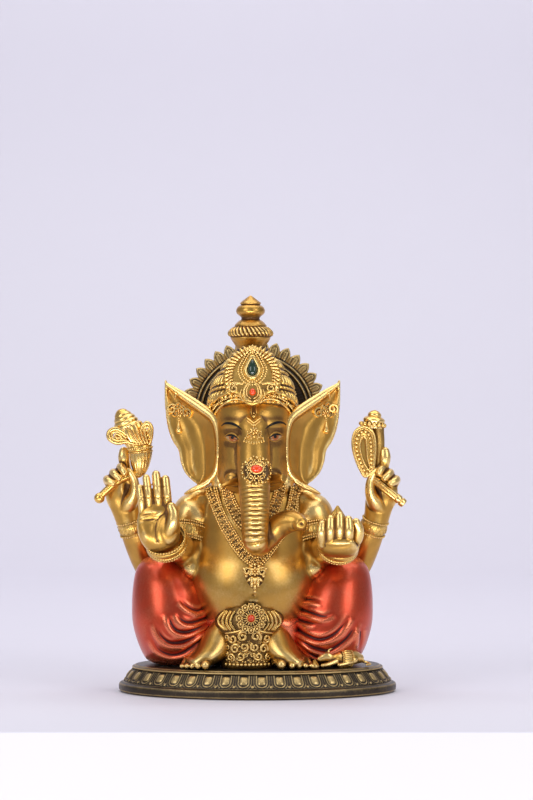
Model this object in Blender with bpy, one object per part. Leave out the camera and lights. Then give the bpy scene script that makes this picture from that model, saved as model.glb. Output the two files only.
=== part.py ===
"""Seated elephant-headed household idol with front and rear arms, on an oval lotus plinth.

A cold-cast figure, built as the castings, glued-on attributes, relief trims and set stones that it
is assembled from. Sizes below are millimetres and are multiplied by MM when points are made.
+Z is up, the figure faces -Y, and the origin is under the middle of the whole outline, on the table.
Right and left are the figure's own, so the right side is at -X.
"""

import math

import bmesh
import bpy
from mathutils import Matrix, Vector
from mathutils.bvhtree import BVHTree

MM = 0.001

# Driving dimensions, in millimetres.
BAND_SIDES = 16            # facets round a bangle
BROW_RADIUS = 1.9          # the roll of the crown along the hairline
GAP = 0.4                  # glue line between neighbouring castings
WELD = 0.003               # points nearer than this are one
PLINTH_X = 2.6             # the plinth's centre, a little to the figure's left
PLINTH_HALF_WIDTH = 72.0
PLINTH_FLARE = 22.0        # half width less half depth, the same at every level
PLINTH_TOP = 14.0
PLINTH_FOOT = 0.5          # the felt stands this much proud of the plinth's rim
FELT_INSET = 6.0
SEAT = PLINTH_TOP + GAP    # underside of everything that sits on the plinth
LAP_X = -2.5               # the apron and the feet sit a little to the figure's right
HALO_CENTRE = (1.0, 23.6, 144.0)
HALO_RADIUS = 37.6
HALO_PETALS = 33
HALO_THICKNESS = 2.6

GOLD = (0.62, 0.40, 0.12)
OLD_GOLD = (0.40, 0.28, 0.11)
BRONZE = (0.20, 0.16, 0.11)
RED = (0.52, 0.06, 0.03)


# ---------------------------------------------------------------- building blocks

def material(name, colour, roughness, metallic):
    """A plain finish; pieces with the same finish share it."""
    finish = bpy.data.materials.get(name) or bpy.data.materials.new(name)
    finish.use_nodes = True
    shader = finish.node_tree.nodes["Principled BSDF"]
    shader.inputs["Base Color"].default_value = (*colour, 1.0)
    shader.inputs["Roughness"].default_value = roughness
    shader.inputs["Metallic"].default_value = metallic
    return finish


def gold():
    return material("antique_gold", GOLD, 0.35, 1.0)


def relief():
    return material("relief_gold", OLD_GOLD, 0.4, 1.0)


def bronze():
    return material("dark_bronze", BRONZE, 0.5, 1.0)


def cloth_red():
    return material("metallic_red", RED, 0.35, 0.7)


def red_stone():
    return material("red_stone", (0.8, 0.05, 0.01), 0.15, 0.0)


def green_stone():
    return material("green_stone", (0.02, 0.07, 0.05), 0.1, 0.0)


def felt():
    return material("black_felt", (0.02, 0.02, 0.02), 0.95, 0.0)


def piece(name, mesh, finish):
    """Makes a named object from a bmesh."""
    data = bpy.data.meshes.new(name)
    bmesh.ops.recalc_face_normals(mesh, faces=mesh.faces)
    mesh.to_mesh(data)
    mesh.free()
    data.materials.append(finish)
    data.shade_smooth()
    data.set_sharp_from_angle(angle=math.radians(40))
    made = bpy.data.objects.new(name, data)
    bpy.context.scene.collection.objects.link(made)
    return made


def helper(made):
    """Turns an object into a cutter or a guide, which is no part of the idol."""
    made.hide_render = True
    made.display_type = "WIRE"
    return made


def between(rows, steps):
    """Catmull-Rom rows: steps - 1 more rows in each span, so that a form swells smoothly."""
    out = []
    last = len(rows) - 1
    for i in range(last):
        p0, p1, p2, p3 = rows[max(i - 1, 0)], rows[i], rows[i + 1], rows[min(i + 2, last)]
        for k in range(steps):
            t = k / steps
            out.append(tuple(
                0.5 * (2 * b + (c - a) * t + (2 * a - 5 * b + 4 * c - d) * t * t
                       + (3 * b - a - 3 * c + d) * t ** 3)
                for a, b, c, d in zip(p0, p1, p2, p3)))
    return out + [tuple(rows[-1])]


def skin(rings, closed_ends=True, closed_loop=False):
    """A bmesh over rings of points, with flat caps or joined end to end."""
    mesh = bmesh.new()
    loops = [[mesh.verts.new(point) for point in ring] for ring in rings]
    pairs = list(zip(loops, loops[1:]))
    if closed_loop:
        pairs.append((loops[-1], loops[0]))
    for low, high in pairs:
        for i in range(len(low)):
            j = (i + 1) % len(low)
            mesh.faces.new((low[i], low[j], high[j], high[i]))
    if closed_ends and not closed_loop:
        mesh.faces.new(reversed(loops[0]))
        mesh.faces.new(loops[-1])
    return mesh


def stack(name, rows, sides, finish, steps=1):
    """A form built of level ovals: rows are (z, centre x, centre y, half width, half depth)."""
    rings = []
    for z, cx, cy, rx, ry in between(rows, steps):
        rings.append([
            Vector((cx + rx * math.cos(a), cy + ry * math.sin(a), z)) * MM
            for a in (2 * math.pi * i / sides for i in range(sides))])
    return piece(name, skin(rings), finish)


def frames(points, closed=False):
    """Side and up directions along a path, carried from point to point without twist."""
    count = len(points)
    out = []
    side = None
    for i in range(count):
        ahead = points[(i + 1) % count] if closed else points[min(i + 1, count - 1)]
        behind = points[(i - 1) % count] if closed else points[max(i - 1, 0)]
        along = (ahead - behind).normalized()
        if side is None:
            seed = Vector((1, 0, 0)) if abs(along.x) < 0.8 else Vector((0, 1, 0))
            side = (seed - along * seed.dot(along)).normalized()
        side = (side - along * side.dot(along)).normalized()
        out.append((side, along.cross(side), along))
    return out


def limb(name, rows, sides, finish, steps=1, round_ends=(True, True)):
    """A tapering round form along a path: rows are (x, y, z, half width, half depth)."""
    rows = between(rows, steps)
    centres = [Vector(row[:3]) for row in rows]
    axes = frames(centres)
    cap_angles = [math.radians(50)]
    stations = [(c, s, u, row[3], row[4]) for c, (s, u, _), row in zip(centres, axes, rows)]
    if round_ends[0]:
        c, s, u, a, b = stations[0]
        back = -axes[0][2] * min(a, b)
        stations = [(c + back * math.sin(t), s, u, a * math.cos(t), b * math.cos(t))
                    for t in cap_angles] + stations
    if round_ends[1]:
        c, s, u, a, b = stations[-1]
        on = axes[-1][2] * min(a, b)
        stations += [(c + on * math.sin(t), s, u, a * math.cos(t), b * math.cos(t))
                     for t in reversed(cap_angles)]
    rings = []
    for c, s, u, a, b in stations:
        rings.append([
            (c + s * a * math.cos(t) + u * b * math.sin(t)) * MM
            for t in (2 * math.pi * i / sides for i in range(sides))])
    return piece(name, skin(rings), finish)


def band(name, centre, axis, inner, wall, width, finish):
    """A bangle: a flat ring round an axis."""
    turn = Vector((0, 0, 1)).rotation_difference(Vector(axis)).to_matrix()
    outer = inner + wall
    profile = [(inner, -width / 2), (outer, -width / 2), (outer, width / 2), (inner, width / 2)]
    rings = []
    for i in range(BAND_SIDES):
        a = 2 * math.pi * i / BAND_SIDES
        out = Vector((math.cos(a), math.sin(a), 0))
        rings.append([(Vector(centre) + turn @ (out * r + Vector((0, 0, h)))) * MM
                      for r, h in profile])
    return piece(name, skin(rings, closed_loop=True), finish)


def ball(name, centre, radii, finish, segments=8, rings=5):
    """An ellipsoid."""
    mesh = bmesh.new()
    place = Matrix.Translation(Vector(centre) * MM) @ Matrix.Diagonal((*(r * MM for r in radii), 1))
    bmesh.ops.create_uvsphere(mesh, u_segments=segments, v_segments=rings, radius=1, matrix=place)
    return piece(name, mesh, finish)


def plate(name, outline, centre, thickness, tilt, finish):
    """An upright plate: an outline in (x, z) about its centre, tilted back by an angle in degrees."""
    lean = Matrix.Rotation(math.radians(tilt), 3, "X")
    rings = []
    for y in (thickness / 2, -thickness / 2):
        rings.append([(Vector(centre) + lean @ Vector((x, y, z))) * MM for x, z in outline])
    return piece(name, skin(rings), finish)


def cabochon(name, centre, half_width, half_height, rise, tilt, finish, point=0.0, sides=14):
    """A domed stone with a flat back, facing forward; point draws its top out to a tear."""
    lean = Matrix.Rotation(math.radians(tilt), 3, "X")
    rings = []
    for lift, share in ((0.0, 1.0), (0.45, 0.9), (0.8, 0.62), (1.0, 0.2)):
        ring = []
        for i in range(sides):
            a = 2 * math.pi * i / sides
            narrow = 1 - point * max(math.sin(a), 0.0)
            ring.append((Vector(centre) + lean @ Vector((
                half_width * share * math.cos(a) * narrow,
                -rise * lift,
                half_height * share * math.sin(a) * (1 + 0.3 * point)))) * MM)
        rings.append(ring)
    return piece(name, skin(rings), finish)


# ---------------------------------------------------------------- joining and clearing

def settled_mesh(made):
    """The object's mesh with its modifiers applied."""
    graph = bpy.context.evaluated_depsgraph_get()
    return bpy.data.meshes.new_from_object(made.evaluated_get(graph))


def settle(made):
    """Keeps the result of an object's modifiers as its own mesh."""
    bpy.context.view_layer.update()
    data = settled_mesh(made)
    made.modifiers.clear()
    made.data = data


def boolean(made, other, operation):
    cut = made.modifiers.new(operation.lower(), "BOOLEAN")
    cut.operation = operation
    cut.solver = "EXACT"
    cut.use_self = True
    cut.object = other


def fuse(made, parts):
    """Casts several forms in one with the first."""
    for part in parts:
        boolean(made, helper(part), "UNION")
    settle(made)
    for part in parts:
        bpy.data.objects.remove(part)
    return made


def swollen(made, gap):
    """A cutter: a copy of a piece with its skin moved out by the gap."""
    bpy.context.view_layer.update()
    data = settled_mesh(made)
    normals = [vertex.normal.copy() for vertex in data.vertices]
    for vertex, normal in zip(data.vertices, normals):
        vertex.co += normal * gap * MM
    cutter = bpy.data.objects.new(made.name + "_clearance", data)
    bpy.context.scene.collection.objects.link(cutter)
    return helper(cutter)


def largest_body(made):
    """Drops the crumbs that a clearance cut leaves beside the main body."""
    mesh = bmesh.new()
    mesh.from_mesh(made.data)
    bmesh.ops.remove_doubles(mesh, verts=mesh.verts, dist=WELD * MM)
    bmesh.ops.dissolve_degenerate(mesh, edges=mesh.edges, dist=WELD * MM)
    unseen = set(mesh.faces)
    bodies = []
    while unseen:
        found = [unseen.pop()]
        for face in found:
            for edge in face.edges:
                if len(edge.link_faces) != 2:
                    continue
                for other in edge.link_faces:
                    if other in unseen:
                        unseen.discard(other)
                        found.append(other)
        bodies.append(found)
    bodies.sort(key=lambda faces: sum(face.calc_area() for face in faces), reverse=True)
    crumbs = [face for body in bodies[1:] for face in body]
    bmesh.ops.delete(mesh, geom=crumbs, context="FACES")
    mesh.to_mesh(made.data)
    mesh.free()


def clear_of(made, *neighbours, gap=GAP):
    """Cuts a piece back from its neighbours, leaving the glue line between them."""
    for neighbour in neighbours:
        cutter = swollen(neighbour, gap)
        boolean(made, cutter, "DIFFERENCE")
        settle(made)
        bpy.data.objects.remove(cutter)
    largest_body(made)
    return made


def surface_of(*pieces):
    """A search tree over the skins of several pieces."""
    corners, faces = [], []
    for made in pieces:
        start = len(corners)
        corners += [vertex.co.copy() for vertex in made.data.vertices]
        faces += [[start + i for i in polygon.vertices] for polygon in made.data.polygons]
    return BVHTree.FromPolygons(corners, faces)


def laid_on(tree, x, z, lift):
    """The point seen at (x, z) from the front, in millimetres, lifted off a surface along its normal."""
    hit, normal, _, _ = tree.ray_cast(Vector((x, -200, z)) * MM, Vector((0, 1, 0)))
    if hit is None:
        hit, normal, _, _ = tree.find_nearest(Vector((x, 0, z)) * MM)
    return hit / MM + normal * lift, normal


def cord_on(name, tree, points, radius, finish, steps=2, sides=6, lift=0.5):
    """A rounded cord whose path, given in (x, z), lies on a surface seen from the front."""
    path = [laid_on(tree, x, z, lift + radius)[0] for x, z in between(points, steps)]
    for _ in range(2):
        path = ([path[0]] + [(a + b * 2 + c) / 4 for a, b, c in zip(path, path[1:], path[2:])]
                + [path[-1]])
    return limb(name, [(*p, radius, radius) for p in path], sides, finish, steps=1)


def bib_on(name, tree, inner, outer, thickness, finish, across=4, lift=0.5):
    """A sheet lying on a surface between two edges, each a list of (x, z) seen from the front."""
    mesh = bmesh.new()
    low, high = [], []
    for (xi, zi), (xo, zo) in zip(inner, outer):
        for k in range(across):
            t = k / (across - 1)
            for rows, rise in ((low, lift), (high, lift + thickness)):
                point, _ = laid_on(tree, xi + (xo - xi) * t, zi + (zo - zi) * t, rise)
                rows.append(mesh.verts.new(point * MM))
    count = len(inner)

    def quad(rows, i, k):
        return (rows[i * across + k], rows[i * across + k + 1],
                rows[(i + 1) * across + k + 1], rows[(i + 1) * across + k])

    for i in range(count - 1):
        for k in range(across - 1):
            mesh.faces.new(quad(low, i, k))
            mesh.faces.new(reversed(quad(high, i, k)))
    rim = ([(i * across, (i + 1) * across) for i in range(count - 1)]
           + [((count - 1) * across + k, (count - 1) * across + k + 1) for k in range(across - 1)]
           + [((i + 1) * across - 1, i * across - 1) for i in range(count - 1, 0, -1)]
           + [(k + 1, k) for k in range(across - 2, -1, -1)])
    for a, b in rim:
        mesh.faces.new((low[a], low[b], high[b], high[a]))
    return piece(name, mesh, finish)


def mirrored(rows, side):
    """Rows given for the figure's left; side -1 gives its right."""
    return [(row[0] * side, *row[1:]) for row in rows]


# ---------------------------------------------------------------- plinth

def make_plinth():
    """The oval plinth: foot moulding, sloping petal frieze, fillet and top plate."""
    half_widths = (
        (PLINTH_FOOT, 71.0), (1.6, PLINTH_HALF_WIDTH), (4.2, PLINTH_HALF_WIDTH), (5.6, 69.4),
        (8.0, 68.4), (12.0, 64.2), (12.3, 65.0), (13.0, 65.0), (PLINTH_TOP, 63.4))
    rows = [(z, PLINTH_X, 0, w, w - PLINTH_FLARE) for z, w in half_widths]
    plinth = stack("base_plinth", rows, 40, bronze())
    pocket_width = PLINTH_HALF_WIDTH - FELT_INSET + GAP
    pocket = stack("felt_pocket", [
        (z, PLINTH_X, 0, pocket_width, pocket_width - PLINTH_FLARE) for z in (-2.0, 1.6)],
        40, bronze())
    boolean(plinth, helper(pocket), "DIFFERENCE")
    settle(plinth)
    bpy.data.objects.remove(pocket)
    pad_width = PLINTH_HALF_WIDTH - FELT_INSET
    stack("felt_pad", [
        (z, PLINTH_X, 0, pad_width, pad_width - PLINTH_FLARE) for z in (0.0, 1.2)], 36, felt())
    return plinth


def make_mouse(plinth, leg):
    """The small mouse that sits on the plinth by the left foot, with its cloth and its sweet."""
    body = limb("mouse", [
        (54.0, -17.0, 18.4, 2.6, 2.6), (50.0, -19.5, 18.9, 4.2, 4.2), (45.0, -22.0, 18.9, 4.1, 4.1),
        (40.5, -24.2, 19.3, 3.2, 3.2), (37.4, -25.6, 20.0, 3.0, 3.0), (34.2, -27.0, 18.6, 1.5, 1.5),
    ], 10, gold())
    ears = [ball(f"mouse_ear_{k}", (39.6 + k * 0.4, -25.6 + k * 3.0, 23.0), (1.5, 0.8, 1.6), gold())
            for k in (0, 1)]
    paws = [ball(f"mouse_paw_{k}", (x, y, 16.1), (2.4, 1.2, 1.4), gold())
            for k, (x, y) in enumerate(((36.6, -26.4), (48.6, -23.2)))]
    fuse(body, ears + paws)
    cloth = band("mouse_cloth", (46.6, -21.2, 18.9), (0.88, 0.47, 0.0), 4.9, 1.0, 6.0, relief())
    clear_of(body, plinth, leg)
    clear_of(cloth, body, plinth, leg)
    sweet = stack("mouse_sweet", [
        (SEAT, 31.8, -31.0, 2.2, 2.2), (16.0, 31.8, -31.0, 2.3, 2.3),
        (17.6, 31.8, -31.0, 1.4, 1.4), (19.0, 31.8, -31.0, 0.4, 0.4)], 10, gold())
    clear_of(sweet, body)


# ---------------------------------------------------------------- trunk of the body and legs

def make_torso():
    """Round belly, chest, shoulders and neck."""
    return stack("torso", [
        (31.0, 0, 2.0, 17, 17), (34.5, 0, 1.0, 26, 25), (42.0, 0, 0.0, 32, 29.5),
        (54.0, 0, -1.0, 34.5, 31), (66.0, 0, -1.0, 33.5, 30), (76.0, 0, 0.0, 30.5, 25.5),
        (84.0, 0, 1.5, 29, 21.5), (92.0, 0, 3.0, 28.5, 18.5), (99.0, 0, 3.5, 24, 15.5),
        (104.0, 0, 3.0, 17, 13), (111.0, 0, 1.0, 12.5, 11.5)], 24, gold())


def make_dhoti(torso):
    """The cloth-wrapped hips and the two raised knees."""
    seat = stack("dhoti_seat", [
        (SEAT, 0, 5, 31, 24), (19.0, 0, 4.5, 34, 27), (26.0, 0, 4, 36, 30),
        (34.0, 0, 3.5, 36.5, 31), (39.0, 0, 3.5, 35.5, 30)], 24, cloth_red())
    clear_of(seat, torso)
    legs = {}
    for name, side in (("right", -1), ("left", 1)):
        leg = stack(f"dhoti_{name}_leg", [
            (z, cx * side, cy, rx, ry) for z, cx, cy, rx, ry in (
                (SEAT, 37.0, 0.0, 16.5, 20.0), (18.0, 37.5, -1.5, 18.5, 22.0),
                (26.0, 39.0, -4.0, 20.5, 24.0), (36.0, 41.0, -5.5, 21.0, 24.0),
                (47.0, 42.5, -6.0, 19.8, 22.0), (57.0, 44.5, -5.5, 17.0, 18.5),
                (64.0, 47.0, -4.5, 12.5, 13.5), (68.6, 48.0, -4.0, 7.5, 8.0),
                (70.4, 48.0, -4.0, 3.0, 3.2))], 20, cloth_red())
        clear_of(leg, torso, seat)
        legs[side] = leg
    return seat, legs


def make_foot(side, name, seat, legs):
    """A bare foot that comes out from under the hem, with five toes."""
    ankle_x = LAP_X + side * 12.5
    foot = limb(f"{name}_foot", [
        (ankle_x, -20.0, 25.5, 7.5, 8.0), (ankle_x + side * 4.5, -25.0, 22.0, 7.4, 6.4),
        (ankle_x + side * 10.0, -28.5, 18.6, 6.6, 4.0),
        (ankle_x + side * 14.0, -30.0, 17.2, 5.6, 2.6)], 10, gold())
    toes = []
    for k in range(5):
        radius = 2.1 if k == 0 else 1.55 - 0.09 * k
        toe = ball(f"toe_{k}", (ankle_x + side * (9.6 + k * 3.0), -34.4 + k * 1.35, SEAT + radius),
                   (radius, radius * 1.5, radius), gold())
        toes.append(toe)
    fuse(foot, toes)
    floor = stack("floor_cut", [(z, 0, 0, 90, 90) for z in (4.0, SEAT)], 8, gold())
    boolean(foot, helper(floor), "DIFFERENCE")
    settle(foot)
    bpy.data.objects.remove(floor)
    return clear_of(foot, legs[side], seat)


def make_apron(torso, seat, legs, feet):
    """The ornate apron that hangs from the belt between the feet, and the belt's rosette."""
    apron = stack("waist_sash", [
        (SEAT, LAP_X, -24.0, 13.6, 10.5), (22.0, LAP_X, -24.5, 12.8, 10.0),
        (32.0, LAP_X, -25.5, 12.4, 9.5), (38.0, LAP_X + 0.6, -26.5, 14.0, 9.0),
        (43.0, LAP_X + 1.2, -27.0, 13.0, 7.5), (46.0, LAP_X + 1.5, -27.0, 9.0, 5.5)],
        18, relief())
    clear_of(apron, torso, seat, *legs.values(), *feet)
    rosette = plate("belt_rosette", [
        (8.0 * math.cos(a) * (1 + 0.05 * math.cos(12 * a)),
         8.0 * math.sin(a) * (1 + 0.05 * math.cos(12 * a)))
        for a in (2 * math.pi * i / 24 for i in range(24))], (-0.5, -35.6, 40.2), 3.2, -8, relief())
    clear_of(rosette, torso, apron)
    stone = cabochon("belt_stone", (-0.5, -37.6, 40.2), 1.6, 1.6, 1.3, -8, red_stone(), sides=12)
    clear_of(stone, rosette, gap=0.3)
    return apron, rosette


# ---------------------------------------------------------------- head

def make_head(torso):
    """The elephant's head without its trunk."""
    head = stack("head", [
        (103.0, 0, -4, 11, 11), (107.0, 0, -6, 16, 16.5), (114.0, 0, -6.5, 18.2, 19.5),
        (122.0, 0, -6, 18.6, 20.5), (131.0, 0, -5, 18.8, 21.5), (140.0, 0, -3, 19.6, 21.5),
        (148.0, 0, -1, 19.6, 20.0), (154.0, 0, 1, 17.0, 16.0)], 20, gold())
    return clear_of(head, torso)


def make_trunk(head, torso):
    """The trunk: down the middle, then curled to the figure's left with its tip forward."""
    trunk = limb("trunk", [
        (0.3, -21.6, 135.0, 8.6, 7.6), (0.6, -26.5, 123.0, 8.8, 8.4), (1.0, -32.0, 110.0, 8.1, 8.0),
        (1.4, -35.5, 98.0, 7.4, 7.2), (1.6, -37.6, 87.0, 6.8, 6.8), (2.2, -38.4, 80.4, 6.5, 6.5),
        (5.4, -38.4, 77.2, 6.3, 6.3), (10.6, -38.0, 78.6, 6.3, 6.3), (16.6, -37.2, 83.0, 6.1, 6.1),
        (22.0, -37.6, 87.4, 5.4, 5.4), (24.6, -39.6, 88.2, 4.6, 4.6)], 12, gold(), steps=2)
    return clear_of(trunk, head, torso)


def make_tusks(head, trunk):
    """A whole tusk on the figure's right and a broken stub on its left."""
    whole = limb("right_tusk", [
        (-7.4, -25.0, 109.6, 1.7, 1.7), (-12.0, -29.5, 108.4, 1.5, 1.5),
        (-15.2, -32.2, 107.2, 0.9, 0.9)], 8, gold())
    clear_of(whole, head, trunk)
    stub = limb("left_tusk_stub", [
        (9.6, -24.0, 110.6, 2.2, 2.2), (14.0, -28.6, 111.0, 2.2, 2.2),
        (16.2, -30.6, 111.0, 2.0, 2.0)], 10, gold(), round_ends=(True, False))
    clear_of(stub, head, trunk)


def make_ear(side, name, head, torso):
    """A wide ear: a dished sheet between the side of the head and a wavy outer edge."""
    outer_edge = between([
        (45.2, 1.0, 159.4), (45.3, 1.5, 146.0), (43.6, 1.5, 134.0), (37.6, 0.5, 122.5),
        (35.6, -1.0, 114.0), (31.4, -2.5, 105.0), (26.6, -2.0, 100.8)], 2)
    count = len(outer_edge)
    across = 7
    mesh = bmesh.new()
    grid = []
    for i, (xo, yo, zo) in enumerate(outer_edge):
        v = i / (count - 1)
        root = Vector((16.4 + 1.5 * v, -8.0 + 3.0 * v, 135.5 - 29.0 * v))
        edge = Vector((xo, yo, zo))
        row = []
        for k in range(across):
            u = k / (across - 1)
            point = root.lerp(edge, u)
            dish = 6.0 * math.sin(math.pi * min(u * 1.15, 1.0))
            dish *= 0.35 + 0.65 * math.sin(math.pi * v * 0.9 + 0.2)
            fold = -2.4 * math.exp(-((u - 0.66) / 0.16) ** 2) * math.sin(math.pi * min(v * 1.2, 1.0))
            point.y += dish + fold
            point.z += 2.0 * math.sin(math.pi * u) * (1 - v)
            row.append(mesh.verts.new((point.x * side * MM, point.y * MM, point.z * MM)))
        grid.append(row)
    for low, high in zip(grid, grid[1:]):
        for k in range(across - 1):
            mesh.faces.new((low[k], low[k + 1], high[k + 1], high[k]))
    ear = piece(f"{name}_ear", mesh, gold())
    wall = ear.modifiers.new("wall", "SOLIDIFY")
    wall.thickness = 2.6 * MM
    wall.offset = 0.0
    wall.use_even_offset = True
    settle(ear)
    return clear_of(ear, head, torso)


def make_ear_jewel(side, name, ear):
    """The scrolled ornament on the ear, with its drop."""
    tree = surface_of(ear)
    across = [(x * side, z) for x, z in ((42.5, 147.4), (39.0, 149.0), (35.5, 146.6), (32.0, 143.4),
                                         (30.0, 140.6))]
    jewel = cord_on(f"{name}_ear_jewel", tree, across, 1.7, relief())
    drop = cord_on("drop", tree, [(36.0 * side, 146.0), (35.6 * side, 140.0), (35.2 * side, 134.6)],
                   1.2, relief())
    fuse(jewel, [drop])
    return clear_of(jewel, ear)


# ---------------------------------------------------------------- crown and halo

def make_crown(head, ears):
    """The tiered crown: dome, brow band, leaf-shaped front plate, its two stones and the finial."""
    dome = stack("crown_dome", [
        (142.0, 0, 1.5, 20.6, 18.6), (148.0, 0, 1.0, 22.2, 20.0), (156.0, 0, 0.5, 23.2, 20.4),
        (163.0, 0, 0.0, 21.6, 19.0), (170.0, 0, 0.0, 17.0, 15.5), (175.0, 0, 0.0, 11.5, 11.0),
        (178.0, 0, 0.0, 8.0, 8.0)], 20, relief())
    clear_of(dome, head, *ears)
    hairline = [(0.0, -24.6, 149.6), (9.5, -22.6, 150.0), (16.6, -16.6, 147.6), (20.6, -8.6, 143.6),
                (22.6, 1.0, 142.6), (19.4, 13.0, 143.0), (9.5, 19.8, 143.0), (0.0, 21.2, 143.0)]
    half = between(hairline, 2)
    loop = half + [(-x, y, z) for x, y, z in reversed(half[1:-1])]
    tree = surface_of(head, dome)
    path = []
    for point in loop:
        hit, normal, _, _ = tree.find_nearest(Vector(point) * MM)
        path.append(hit / MM + normal * (BROW_RADIUS + 0.2))
    rings = []
    for centre, (side, up, _) in zip(path, frames(path, closed=True)):
        rings.append([(centre + (side * math.cos(a) + up * math.sin(a)) * BROW_RADIUS) * MM
                      for a in (2 * math.pi * i / 6 for i in range(6))])
    brow = piece("crown_brow_band", skin(rings, closed_loop=True), relief())
    clear_of(brow, head, dome, *ears)
    leaf = [(0.0, 15.4), (4.5, 13.0), (9.0, 9.6), (12.8, 5.0), (14.6, -0.5), (13.6, -6.0), (11.0, -9.6),
            (6.4, -11.4), (4.6, -14.0), (2.4, -16.4), (0.0, -17.2)]
    outline = between(leaf, 2)
    outline += [(-x, z) for x, z in reversed(outline[1:-1])]
    front = plate("crown_front_plate", outline, (0.0, -21.6, 164.0), 4.2, -18, relief())
    clear_of(front, head, dome, brow)
    finial = stack("crown_finial", [
        (174.0, 0, 0, 8.2, 8.2), (178.4, 0, 0, 8.6, 8.6), (180.6, 0, 0, 10.4, 10.4),
        (182.6, 0, 0, 11.4, 11.4), (185.4, 0, 0, 11.0, 11.0), (187.4, 0, 0, 8.6, 8.6),
        (189.0, 0, 0, 6.4, 6.4), (191.2, 0, 0, 5.0, 5.0), (193.0, 0, 0, 5.2, 5.2),
        (195.0, 0, 0, 7.0, 7.0), (196.8, 0, 0, 7.4, 7.4), (198.6, 0, 0, 6.0, 6.0),
        (199.6, 0, 0, 5.2, 5.2), (201.4, 0, 0, 5.2, 5.2), (205.4, 0, 0, 0.5, 0.5)], 14, relief())
    clear_of(finial, dome, front)
    green = cabochon("crown_green_stone", (0.2, -24.3, 165.3), 2.7, 4.4, 2.2, -18, green_stone(), 0.45)
    red = cabochon("crown_red_stone", (0.3, -27.7, 153.8), 1.6, 1.6, 1.4, -18, red_stone(), sides=12)
    for stone in (green, red):
        clear_of(stone, front, gap=0.3)
    return dome, brow, front, finial


def make_halo(neighbours):
    """The sun disc behind the head, edged with petals."""
    outline = []
    for i in range(HALO_PETALS):
        start = 2 * math.pi * (i + 0.5) / HALO_PETALS
        pitch = 2 * math.pi / HALO_PETALS
        for share, radius in ((0.0, HALO_RADIUS - 4.6), (0.3, HALO_RADIUS - 0.8),
                              (0.7, HALO_RADIUS - 0.8)):
            a = start + share * pitch
            outline.append((radius * math.cos(a), radius * math.sin(a)))
    halo = plate("halo_plate", outline, HALO_CENTRE, HALO_THICKNESS, 0, bronze())
    return clear_of(halo, *neighbours)


def make_face_jewels(head, trunk):
    """The mark and jewel on the brow, and the cluster with its red stone at the trunk's root."""
    tree = surface_of(head, trunk)
    mark = cord_on("brow_mark", tree, [(0.2, 145.4), (0.2, 142.6), (0.2, 139.8)], 1.3, relief())
    jewel = cord_on("brow_jewel", tree, [(1.2, 135.8), (1.2, 133.6), (1.2, 131.2)], 2.4, relief())
    cluster = bib_on("trunk_jewel", tree,
                     [(2.0 + 6.6 * math.sin(t), 114.6 + 7.4 * math.cos(t)) for t in
                      (math.pi * k / 6 for k in range(7))],
                     [(2.0 - 6.6 * math.sin(t), 114.6 + 7.4 * math.cos(t)) for t in
                      (math.pi * k / 6 for k in range(7))], 2.2, relief(), across=5)
    for made in (mark, jewel, cluster):
        clear_of(made, head, trunk)
    spot, normal = laid_on(surface_of(cluster), 2.0, 114.4, 0.35)
    lean = math.degrees(math.asin(max(-1.0, min(1.0, -normal.z))))
    stone = cabochon("trunk_stone", spot, 3.0, 2.2, 1.8, lean, red_stone(), sides=14)
    clear_of(stone, cluster, gap=0.3)
    return mark, jewel, cluster


# ---------------------------------------------------------------- arms and hands

def make_front_arm(side, name, wrist_drop, torso, seat, legs, ear):
    """Upper arm, with its armlet, and the forearm that lies over the knee."""
    upper = limb(f"{name}_upper_arm", mirrored([
        (28.5, 2.5, 91.5, 12.0, 12.0), (32.6, 0.5, 84.0, 10.6, 10.6), (34.0, -3.0, 77.0, 9.2, 9.2),
        (33.6, -6.5, 72.0, 8.2, 8.2)], side), 14, gold())
    clear_of(upper, torso, seat, legs[side], ear)
    wrist = (44.6, -27.0, 79.0 - wrist_drop)
    forearm = limb(f"{name}_forearm", mirrored([
        (33.8, -8.0, 72.0, 7.6, 7.6), (37.8, -15.0, 75.0 - wrist_drop * 0.4, 7.6, 7.6),
        (41.6, -21.5, 77.4 - wrist_drop * 0.8, 7.6, 7.4), (*wrist, 7.4, 7.2)], side),
        14, gold(), round_ends=(True, False))
    clear_of(forearm, torso, upper, legs[side])
    armlet = band(f"{name}_armlet", (33.4 * side, -1.4, 80.6), (0.12 * side, -0.36, -0.92),
                  10.5, 1.5, 9.0, relief())
    clear_of(armlet, upper, torso, forearm, legs[side])
    bangle = band(f"{name}_bracelet", ((wrist[0] - 1.6) * side, wrist[1] + 3.0, wrist[2] - 0.9),
                  (0.42 * side, -0.85, 0.25), 8.4, 1.5, 5.0, relief())
    clear_of(bangle, forearm, upper, torso, legs[side], armlet)
    return upper, forearm, armlet, bangle


def finger(name, points, radius):
    """A finger through its joints, a little finer at the tip."""
    rows = [(*p, radius * (1 - 0.1 * i), radius * (1 - 0.1 * i)) for i, p in enumerate(points)]
    return limb(name, rows, 6, gold())


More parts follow.
